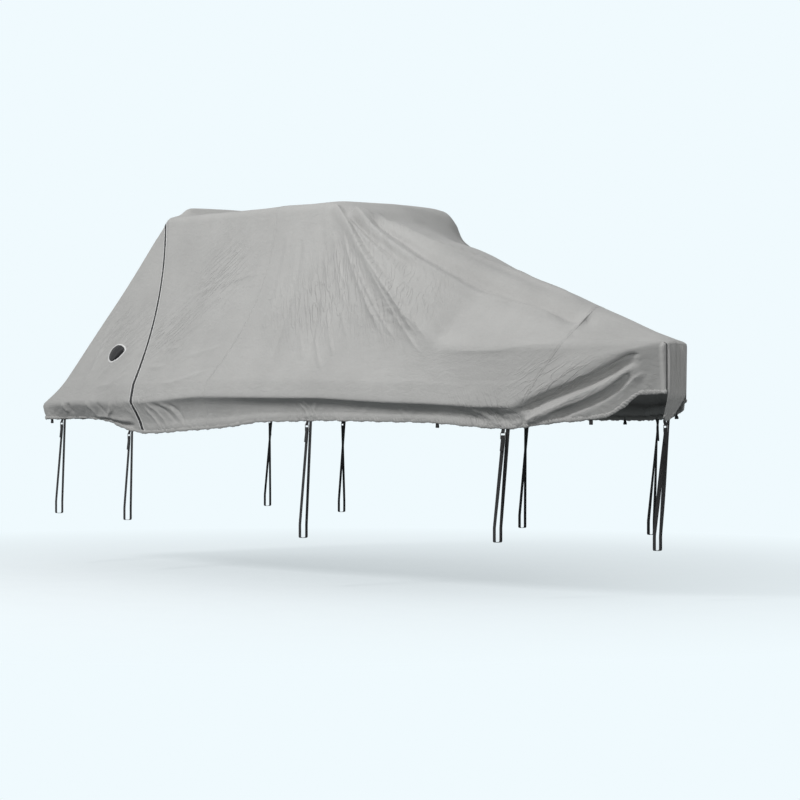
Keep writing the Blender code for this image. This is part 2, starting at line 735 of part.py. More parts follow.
def vent(name, side):
    """A domed vent on the stern panel's quarter. Its flat back follows the cloth."""
    tree = tree_of("stern_panel")
    start = Vector((VENT_X, side * 3.0, VENT_Z))
    centre, normal, _, _ = tree.ray_cast(start, Vector((0.0, -side, 0.0)))
    made = bmesh.new()
    rings = []
    for share, rise in VENT_RINGS:
        rings.append([made.verts.new(point) for point in vent_ring(tree, centre, normal, share, rise)])
    for low, high in zip(rings, rings[1:]):
        for i in range(len(low)):
            made.faces.new((low[i - 1], low[i], high[i], high[i - 1]))
    made.faces.new(rings[-1])
    middle = made.verts.new(centre + normal * VENT_LAP)
    for i in range(len(rings[0])):
        made.faces.new((rings[0][i], rings[0][i - 1], middle))
    bmesh.ops.recalc_face_normals(made, faces=made.faces)
    mesh = bpy.data.meshes.new(name)
    made.to_mesh(mesh)
    made.free()
    add_object(name, mesh, black)


def hem_frame(x, side, body, stern):
    """Where the hem is at x, and the directions along it and outward."""
    for edge in (body[:, -1 if side < 0 else 0], stern[0]):
        for a, b in zip(edge, edge[1:]):
            if (a[0] - x) * (b[0] - x) <= 0 and a[1] * side > 0.3 and abs(b[0] - a[0]) > 1e-6:
                along = (b - a) * np.array([1.0, 1.0, 0.0])
                along *= np.sign(along[0]) / np.linalg.norm(along)
                outward = np.array([-along[1], along[0], 0.0]) * side
                return a + (b - a) * (x - a[0]) / (b[0] - a[0]), along, outward
    raise ValueError("no hem at that x")


def inner_face(hem, along, outward, width, height):
    """How far outward of the hem line the cloth's inner face lies at a height, over the webbing's width."""
    behind = 0.08
    hits = []
    for share in np.linspace(-0.52, 0.52, 15):
        start = hem + along * width * share - outward * behind + np.array([0.0, 0.0, height])
        hits += [tree.ray_cast(Vector(start), Vector(outward), 2 * behind)[3] for tree in panel_trees]
    hits = [far for far in hits if far is not None]
    return min(hits) - behind if hits else None


def sewn_line(hem, along, outward, width):
    """The webbing's middle inside the cloth, at the top of its seam and just below the hem."""
    heights = np.arange(-0.006, HEM_GRIP, 0.001)
    faces = [(h, inner_face(hem, along, outward, width, h)) for h in heights]
    faces = [(h, face) for h, face in faces if face is not None]
    upper = min(face for h, face in faces if h > HEM_GRIP / 2)
    lower = min(face for h, face in faces if h < HEM_GRIP / 2)
    slope = (upper - lower) / (HEM_GRIP + SEAM_DROP)
    excess = max(lower + slope * (h + SEAM_DROP) - face for h, face in faces)
    inwards = excess + (SEWN + WEBBING / 2) * math.hypot(1.0, slope)
    return [
        hem + outward * (upper - inwards) + np.array([0.0, 0.0, HEM_GRIP]),
        hem + outward * (lower - inwards) - np.array([0.0, 0.0, SEAM_DROP]),
    ]


def rounded(corners, bends):
    """A path through the corners. Each inner one has its bend: how far it reaches, and in how many straights."""
    path = [corners[0]]
    for before, here, after, (reach, cells) in zip(corners, corners[1:], corners[2:], bends):
        back, on = before - here, after - here
        start = here + back / np.linalg.norm(back) * reach
        end = here + on / np.linalg.norm(on) * reach
        for i in range(cells + 1):
            t = i / cells
            path.append(start * (1 - t) ** 2 + here * 2 * t * (1 - t) + end * t**2)
    return np.array(path + [corners[-1]])


def ribbon(name, path, along, width, thickness, finish):
    """Flat webbing along a path, its width in the direction of along, which has a row for each point."""
    step = np.gradient(path, axis=0)
    step /= np.linalg.norm(step, axis=1, keepdims=True)
    across = along - step * np.sum(step * along, axis=1, keepdims=True)
    across /= np.linalg.norm(across, axis=1, keepdims=True)
    normal = np.cross(step, across)
    grid = np.stack([path - across * width / 2, path + across * width / 2], axis=1)
    lift = normal[:, None] * thickness / 2
    solid_sheet(name, grid + lift, grid - lift, finish)


def box(name, size, middle, group):
    bpy.ops.mesh.primitive_cube_add(size=1.0, location=middle)
    item = bpy.context.object
    item.name = name
    item.scale = size
    bpy.ops.object.transform_apply(location=False, rotation=False, scale=True)
    for held in list(item.users_collection):
        held.objects.unlink(item)
    group.objects.link(item)
    return item


def buckle_mesh():
    """The buckle about its own middle: X along the hem, Y outward, Z up. Two windows leave three bars."""
    plate = box("buckle_plate", (BUCKLE_WIDTH, BUCKLE_PLATE, BUCKLE_HEIGHT), (0, 0, 0), cutters)
    height = (BUCKLE_HEIGHT - 2 * BUCKLE_RAIL - BUCKLE_BAR) / 2
    rise = (BUCKLE_BAR + height) / 2
    for name, middle in (("window_upper", rise), ("window_lower", -rise)):
        size = (BUCKLE_WIDTH - 2 * BUCKLE_RAIL, 4 * BUCKLE_PLATE, height)
        window = box(name, size, (0, 0, middle), cutters)
        cut = plate.modifiers.new(name, "BOOLEAN")
        cut.operation = "DIFFERENCE"
        cut.object = window
    graph = bpy.context.evaluated_depsgraph_get()
    mesh = bpy.data.meshes.new_from_object(plate.evaluated_get(graph))
    for helper in list(cutters.objects):
        bpy.data.objects.remove(helper, do_unlink=True)
    return mesh


def buckle(name, middle, outward):
    item = add_object(name, buckle_shape.copy(), steel)
    across = Vector(outward).cross(Vector((0.0, 0.0, 1.0)))
    turned = Matrix((across, outward, (0.0, 0.0, 1.0))).transposed().to_4x4()
    item.matrix_world = Matrix.Translation(middle) @ turned


def turned_to(path, along, towards, start, end):
    """A row for each point of the path: along above the height start, towards below the height end."""
    share = np.clip((start - path[:, 2]) / (start - end), 0.0, 1.0)[:, None]
    return along * (1 - share) + towards * share


def hanging_loop(name, hem, along, outward, bottom, gap, lean=0.0, towards=None):
    """A webbing loop sewn inside the hem, which leans outwards as it hangs. It gives its middle at the hem.

    Where towards is given, the webbing's width turns that way between the hem and the loop's open part.
    """
    top, seam = sewn_line(hem, along, outward, LOOP_WIDTH)
    across = outward * LEGS
    middle = seam - across / 2
    shoulder = middle + outward * lean - np.array([0.0, 0.0, bottom * SHOULDER_DROP])
    foot = middle + outward * lean - np.array([0.0, 0.0, bottom])
    towards = along if towards is None else towards
    apart = np.cross(towards, (0.0, 0.0, 1.0))
    apart *= np.sign(apart @ outward) * gap / 2
    corners = [
        top,
        seam,
        shoulder + apart,
        foot + apart,
        foot - apart,
        shoulder - apart,
        seam - across,
        top - across,
    ]
    tight, slight = (0.3 * gap, 2), (0.003, 1)
    path = rounded(corners, (slight, slight, tight, tight, slight, slight))
    facing = turned_to(path, along, towards, seam[2] - 0.003, seam[2] - 0.5 * bottom)
    ribbon(name, path, facing, LOOP_WIDTH, WEBBING, black)
    return middle


def strap(name, hem, along, outward, side, slant, foot):
    """One tie-down: sewn inside the hem, round the beam and up into the buckle, whose own loop hangs from the hem."""
    half = WEBBING / 2
    bar_gap = BUCKLE_PLATE + 2 * (CLEAR + half)
    loop_bottom = BUCKLE_DROP - BUCKLE_HEIGHT / 2 + BUCKLE_RAIL + CLEAR + half
    place = hem + along * BUCKLE_SHIFT
    seam = hanging_loop(name + "_buckle_loop", place, along, outward, loop_bottom, bar_gap, LEAN)
    middle = seam + outward * LEAN - np.array([0.0, 0.0, BUCKLE_DROP])
    buckle(name + "_buckle", middle, outward)

    beam = hem - np.array([slant, 0.0, 0.0])
    beam[2] = foot
    aside = np.array([0.0, side, 0.0])
    beam += aside * 0.004
    reach = aside * (BEAM_WIDTH / 2 + CLEAR + half)
    high = np.array([0.0, 0.0, 1.0])
    deep = high * (BEAM_HEIGHT / 2 + CLEAR + half)
    top, start = sewn_line(hem + along * STRAP_SHIFT, along, outward, WEBBING_WIDTH)
    behind, ahead = middle - outward * bar_gap / 2, middle + outward * bar_gap / 2
    over_bar = BUCKLE_BAR / 2 + CLEAR + half
    below = -BUCKLE_HEIGHT / 2
    corners = [
        top,
        start,
        start * 0.55 + (beam - reach + deep) * 0.45,
        beam - reach + deep,
        beam - reach - deep,
        beam + reach - deep,
        beam + reach + deep,
        (behind + high * (below - 0.012)) * 0.55 + (beam + reach + deep) * 0.45,
        behind + high * (below - 0.012),
        behind + high * over_bar,
        ahead + high * over_bar,
        ahead + high * (below - 0.004),
        ahead + high * (below - TAIL) + outward * 0.006 - along * 0.006,
    ]
    at_hem, slight, at_beam, at_bar = (0.002, 1), (0.010, 1), (0.012, 2), (0.0022, 2)
    bends = (at_hem, slight, at_beam, at_beam, at_beam, at_beam, slight, slight, at_bar, at_bar, slight)
    path = rounded(corners, bends)
    facing = turned_to(path, along, np.array([1.0, 0.0, 0.0]), middle[2] - 0.20, foot + 0.25)
    ribbon(name, path, facing, WEBBING_WIDTH, WEBBING, black)


def straps(body, stern):
    to_port, forward = np.array([0.0, 1.0, 0.0]), np.array([1.0, 0.0, 0.0])
    for side, side_name in ((-1, "starboard"), (1, "port")):
        for name, x, slant, foot in STRAPS:
            strap(f"strap_{name}_{side_name}", *hem_frame(x, side, body, stern), side, slant, foot)
        for name, x, hang in LOOPS:
            hem = hem_frame(x, side, body, stern)
            hanging_loop(f"loop_{name}_{side_name}", *hem, hang, LOOP_GAP, towards=forward)
    strap("strap_nose", np.array(NOSE_STRAP), to_port, forward, -1, NOSE_SLANT, NOSE_FOOT)


# ---------------------------------------------------------------- build
for old in list(bpy.data.objects):
    bpy.data.objects.remove(old, do_unlink=True)

cover = collection_named("Boat cover")
cutters = collection_named("Cutters")
cloth = material("Cover cloth", (0.42, 0.42, 0.42), 0.8)
black = material("Black webbing and plastic", (0.02, 0.02, 0.02), 0.7)
steel = material("Plated steel", (0.60, 0.60, 0.60), 0.3, 1.0)

body, of_body, stern, of_stern = cloth_grids()
cloth_panels(body, of_body, stern, of_stern)
sheet("nose_cap", *nose_grid(), cloth)
zips(body, of_body, stern)
vent("vent_starboard", -1)
vent("vent_port", 1)
buckle_shape = buckle_mesh()
panels = ("aft_panel", "middle_panel", "bow_panel", "stern_panel", "nose_cap")
panel_trees = [tree_of(name) for name in panels]
straps(body, stern)
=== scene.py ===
"""Looks of a fitted cover for a hard-top boat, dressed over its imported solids.

Metres. +X points to the bow, +Y to port and +Z up, with the origin at the middle of the hard top.
Each cloth panel is a fine sheet on the same lines as its solid, with the creases, gathers and seams
that the solids leave out. Tables give real sizes; places on the cloth are (station, line), where the
lines run 0 centre, 1 rim, 2 shoulder, 3 knee, 4 gunwale, 5 hem, and are negative to port.
"""

import math

import bmesh
import bpy
import numpy as np
from mathutils import Matrix, Vector
from mathutils.bvhtree import BVHTree


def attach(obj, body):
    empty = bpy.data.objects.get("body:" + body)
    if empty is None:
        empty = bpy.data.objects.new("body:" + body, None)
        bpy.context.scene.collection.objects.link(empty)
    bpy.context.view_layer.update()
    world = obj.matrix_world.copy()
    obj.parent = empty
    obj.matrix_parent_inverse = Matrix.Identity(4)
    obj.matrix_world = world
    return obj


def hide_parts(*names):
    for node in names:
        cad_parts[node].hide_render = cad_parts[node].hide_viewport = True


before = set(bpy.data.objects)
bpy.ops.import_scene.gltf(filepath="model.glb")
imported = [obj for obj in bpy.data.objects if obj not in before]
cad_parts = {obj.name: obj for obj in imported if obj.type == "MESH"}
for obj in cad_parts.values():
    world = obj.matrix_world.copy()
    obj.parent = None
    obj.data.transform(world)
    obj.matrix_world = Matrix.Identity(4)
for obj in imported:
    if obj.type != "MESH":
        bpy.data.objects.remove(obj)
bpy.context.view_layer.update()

# The six lines that shape one side, from the middle of the boat to the hem. Each row is
# x, half-width, height: the rows follow the boat from its stern to its nose.
CENTRE = (
    (-1.19, 0.0, -0.075),
    (-1.165, 0.0, -0.035),
    (-1.10, 0.0, -0.002),
    (-0.90, 0.0, 0.0025),
    (0.95, 0.0, 0.0025),
    (1.10, 0.0, -0.008),
    (1.22, 0.0, -0.075),
    (1.36, 0.0, -0.190),
    (1.62, 0.0, -0.290),
    (2.04, 0.0, -0.400),
    (2.63, 0.0, -0.622),
    (3.21, 0.0, -0.821),
    (3.93, 0.0, -1.068),
    (4.21, 0.0, -1.163),
)
RIM_STARBOARD = (
    (-1.19, 0.62, -0.078),
    (-1.165, 0.61, -0.042),
    (-1.10, 0.56, -0.012),
    (-0.90, 0.50, -0.010),
    (1.05, 0.50, -0.010),
    (1.22, 0.53, -0.050),
    (1.50, 0.54, -0.150),
    (1.82, 0.52, -0.262),
    (2.10, 0.47, -0.390),
    (2.40, 0.40, -0.505),
    (2.74, 0.33, -0.645),
    (3.30, 0.22, -0.855),
    (3.80, 0.12, -1.030),
    (4.215, 0.06, -1.166),
)
RIM_PORT = (
    (-1.19, 0.62, -0.078),
    (-1.165, 0.61, -0.042),
    (-1.10, 0.56, -0.012),
    (-0.90, 0.50, -0.010),
    (1.02, 0.50, -0.020),
    (1.12, 0.52, -0.078),
    (1.22, 0.50, -0.195),
    (1.40, 0.46, -0.335),
    (1.80, 0.42, -0.480),
    (2.40, 0.38, -0.720),
    (3.00, 0.32, -0.905),
    (3.60, 0.20, -1.045),
    (4.215, 0.06, -1.168),
)
SHOULDER_STARBOARD = (
    (-1.14, 0.655, -0.078),
    (-1.08, 0.660, -0.035),
    (1.05, 0.650, -0.030),
    (1.14, 0.640, -0.053),
    (1.29, 0.660, -0.165),
    (1.69, 0.761, -0.445),
    (2.14, 0.878, -0.735),
    (2.42, 0.945, -0.925),
    (2.63, 0.975, -1.085),
    (2.79, 0.965, -1.185),
    (3.10, 0.870, -1.195),
    (3.43, 0.719, -1.187),
    (3.73, 0.554, -1.183),
    (4.05, 0.325, -1.178),
    (4.22, 0.115, -1.175),
)
SHOULDER_PORT = (
    (-1.14, 0.655, -0.078),
    (-1.08, 0.660, -0.035),
    (1.02, 0.645, -0.045),
    (1.12, 0.640, -0.110),
    (1.18, 0.655, -0.240),
    (1.28, 0.700, -0.350),
    (1.70, 0.800, -0.610),
    (2.20, 0.910, -0.880),
    (2.63, 0.970, -1.120),
    (2.79, 0.960, -1.200),
    (3.10, 0.870, -1.200),
    (3.43, 0.719, -1.187),
    (4.05, 0.325, -1.178),
    (4.22, 0.115, -1.175),
)
KNEE = (
    (-2.07, 1.120, -1.465),
    (-0.84, 1.190, -1.455),
    (0.50, 1.200, -1.430),
    (1.70, 1.190, -1.440),
    (2.44, 1.100, -1.460),
    (3.17, 0.885, -1.470),
    (3.45, 0.750, -1.460),
    (3.81, 0.552, -1.330),
    (4.10, 0.312, -1.225),
    (4.225, 0.117, -1.186),
)
GUNWALE = (
    (-2.23, 1.190, -1.630),
    (-1.46, 1.214, -1.613),
    (-0.74, 1.231, -1.609),
    (0.17, 1.235, -1.563),
    (1.12, 1.235, -1.572),
    (1.62, 1.223, -1.575),
    (2.04, 1.194, -1.591),
    (2.44, 1.132, -1.610),
    (2.80, 1.046, -1.622),
    (3.17, 0.917, -1.640),
    (3.42, 0.800, -1.643),
    (3.58, 0.701, -1.573),
    (3.81, 0.549, -1.460),
    (4.10, 0.307, -1.277),
    (4.23, 0.120, -1.200),
)
HEM_STARBOARD = (
    (-2.22, 1.170, -1.752),
    (-2.00, 1.130, -1.748),
    (-1.64, 1.126, -1.742),
    (-1.36, 1.138, -1.757),
    (-0.98, 1.148, -1.836),
    (-0.72, 1.152, -1.861),
    (-0.15, 1.155, -1.836),
    (0.48, 1.155, -1.797),
    (0.89, 1.155, -1.758),
    (1.95, 1.123, -1.742),
    (2.73, 0.986, -1.755),
    (3.29, 0.788, -1.792),
    (3.61, 0.626, -1.751),
    (3.93, 0.395, -1.706),
    (4.00, 0.335, -1.655),
    (4.12, 0.225, -1.545),
    (4.22, 0.120, -1.542),
)
HEM_PORT = (
    (-2.22, 1.170, -1.752),
    (-2.00, 1.130, -1.748),
    (-0.98, 1.148, -1.765),
    (0.48, 1.155, -1.762),
    (1.95, 1.123, -1.742),
    (2.73, 0.986, -1.745),
    (3.29, 0.788, -1.735),
    (3.61, 0.626, -1.715),
    (3.93, 0.395, -1.680),
    (4.12, 0.225, -1.670),
    (4.22, 0.120, -1.600),
)
LINE_NAMES = ("centre", "rim", "shoulder", "knee", "gunwale", "hem")

# How the cross lines of the cloth run: each row gives their x on the six lines, and how far the stretch
# from shoulder to knee bows towards the bow.
STATIONS = (
    # centre, rim, shoulder, knee, gunwale, hem, bow
    (-1.19, -1.19, -1.14, -0.84, -0.83, -0.74, 0.07),
    (-1.10, -1.10, -1.07, -0.78, -0.77, -0.68, 0.07),
    (-0.40, -0.40, -0.40, -0.34, -0.34, -0.30, 0.11),
    (0.45, 0.44, 0.43, 0.22, 0.19, 0.15, 0.17),
    (1.00, 1.00, 0.99, 1.00, 1.00, 1.00, 0.08),
    (1.22, 1.22, 1.17, 1.30, 1.30, 1.30, 0.03),
    (1.62, 1.62, 1.55, 1.66, 1.66, 1.66, 0.0),
    (2.63, 2.66, 2.72, 2.64, 2.62, 2.60, 0.0),
    (3.45, 3.54, 3.665, 3.52, 3.45, 3.42, 0.0),
    (4.225, 4.225, 4.225, 4.225, 4.225, 4.225, 0.0),
)
ZIP_STATION, SEAM_A, SEAM_B, NOSE_STATION = -1.19, 0.45, 3.45, 4.21  # where the panels meet

# The stern below the hard top: where the lines turn the corner, and how round it is in plan.
STERN_CORNERS = {"knee": (-2.10, 1.125), "gunwale": (-2.29, 1.215), "hem": (-2.27, 1.185)}
STERN_ROUND = 0.10
CORNER_LAP = 0.15  # how far inboard of the corner the rim's column lands

# Softness of the bends at rim, shoulder, knee and gunwale: the cloth leaves the straight this far from each.
BENDS = {"rim": 0.10, "shoulder": 0.06, "knee": 0.10, "gunwale": 0.035}
SAG_SIDE, SAG_STERN = 0.035, 0.030
# The nose is pulled to starboard: how much of its half-width port keeps there.
PORT_SHARE = ((3.40, 1.0), (3.81, 0.92), (4.05, 0.79), (4.22, 0.73))

# The raised bar across the hard top's aft edge.
BAR_X, BAR_HALF_LENGTH, BAR_RISE, BAR_WIDTH = -1.085, 0.50, 0.070, 0.055

# Main folds, which the solids have too. The solids' five on the foredeck are ridges among CREASES here.
FOLDS = (
    # from x, from line, to x, to line, width, lift
    (3.41, 4.12, 4.12, 4.12, 0.075, -0.055),
    (3.47, 4.70, 4.10, 4.30, 0.060, 0.022),
    (3.62, 4.80, 4.08, 4.45, 0.055, -0.030),
    (1.05, 2.10, 1.35, 2.85, 0.070, -0.012),
    (0.80, 2.20, 0.95, 2.90, 0.060, -0.010),
    (0.62, 2.15, 0.70, 2.70, 0.060, 0.008),
    (1.20, -1.90, 2.40, -1.30, 0.090, -0.022),
    (1.10, -2.10, 1.80, -2.90, 0.080, -0.014),
    (3.10, -4.30, 4.10, -4.10, 0.070, -0.030),
    (-0.50, -2.20, -0.20, -2.90, 0.070, -0.010),
    (2.90, 0.0, 4.00, 0.0, 0.090, 0.006),
)

# The curtain that closes the nose, from its top seam down: height, half-width, middle and x.
NOSE = (
    (-1.172, 0.094, -0.015, 4.2330),
    (-1.190, 0.096, -0.015, 4.2440),
    (-1.250, 0.096, -0.015, 4.2460),
    (-1.450, 0.095, -0.015, 4.2460),
    (-1.550, 0.092, -0.015, 4.2430),
    (-1.620, 0.075, -0.020, 4.2180),
    (-1.680, 0.056, -0.028, 4.1900),
    (-1.735, 0.044, -0.030, 4.1600),
)
NOSE_HEM = ((-1.0, -1.700), (-0.4, -1.728), (0.2, -1.735), (0.6, -1.720), (1.0, -1.680))
NOSE_FOLDS = (
    # across (-1 starboard to 1 port), width, lift, height where it starts, height where it ends
    (-0.55, 0.22, 0.007, -1.20, -1.72),
    (-0.10, 0.20, -0.006, -1.40, -1.72),
    (0.10, 0.16, -0.012, -1.17, -1.42),
    (0.45, 0.24, 0.008, -1.20, -1.70),
)

# Tie-down straps. x at the hem, how far aft the foot is, and the height of the foot.
STRAPS = (
    # name, x, slant, foot height
    ("stern", -2.01, 0.055, -2.52),
    ("aft", -0.95, 0.035, -2.54),
    ("mid", 1.46, 0.060, -2.59),
    ("fore", 3.29, 0.075, -2.56),
)
NOSE_STRAP = (4.148, -0.030, -1.735)  # where the nose strap leaves the curtain's hem
NOSE_SLANT, NOSE_FOOT = 0.075, -2.61
STRAP_SHIFT, BUCKLE_SHIFT = 0.020, -0.016  # along the hem, from the strap's middle
BUCKLE_DROP, LEAN = 0.050, 0.009  # hem to buckle's middle, and how far the buckle hangs out from the hem
TAIL = 0.085  # free end below the buckle
HEM_GRIP, SEAM_DROP = 0.022, 0.004  # how far up inside the hem webbing is sewn, and where its first bend is

BUCKLE_HEIGHT, BUCKLE_PLATE = 0.050, 0.004
BUCKLE_RAIL, BUCKLE_BAR = 0.005, 0.006  # its outer frame, and the bar between its two windows
BUCKLE_EDGE = 0.0009  # how round the plate's edges are

# Empty webbing loops at the hem: x, and how far each hangs.
LOOPS = (("stern", -2.17, 0.034), ("mid", 2.76, 0.030), ("fore", 3.84, 0.034))
LOOP_GAP = 0.013
SHOULDER_DROP = 0.7  # share of a loop's hang where its legs are fully apart
LEGS = 0.0034  # between the middles of a loop's two legs where they are sewn in

# The vent: a teardrop with its point forward and a little up.
VENT_X, VENT_Z = -1.300, -1.186
VENT_LENGTH, VENT_WIDTH = 0.240, 0.180
VENT_POINTS_TO = (0.97, 0.0, 0.20)

# Rows and columns of each panel. A row is how far along its stretch each cell ends.
CENTRE_CELLS = (0.35, 0.70, 1.0)
RIM_CELLS = (0.15, 0.30, 0.45, 0.60, 0.74, 0.88, 1.0)
SIDE_CELLS = (0.035, 0.13, 0.27, 0.42, 0.57, 0.72, 0.86, 1.0)
KNEE_CELLS = (0.50, 1.0)
HEM_CELLS = (0.18, 0.42, 0.72, 1.0)
SPANS = (
    # from station, to station, cells
    (-1.19, -1.10, 2),
    (-1.10, -1.04, 2),
    (-1.04, 0.45, 8),
    (0.45, 1.02, 4),
    (1.02, 1.36, 4),
    (1.36, 3.45, 14),
    (3.45, 4.21, 8),
)

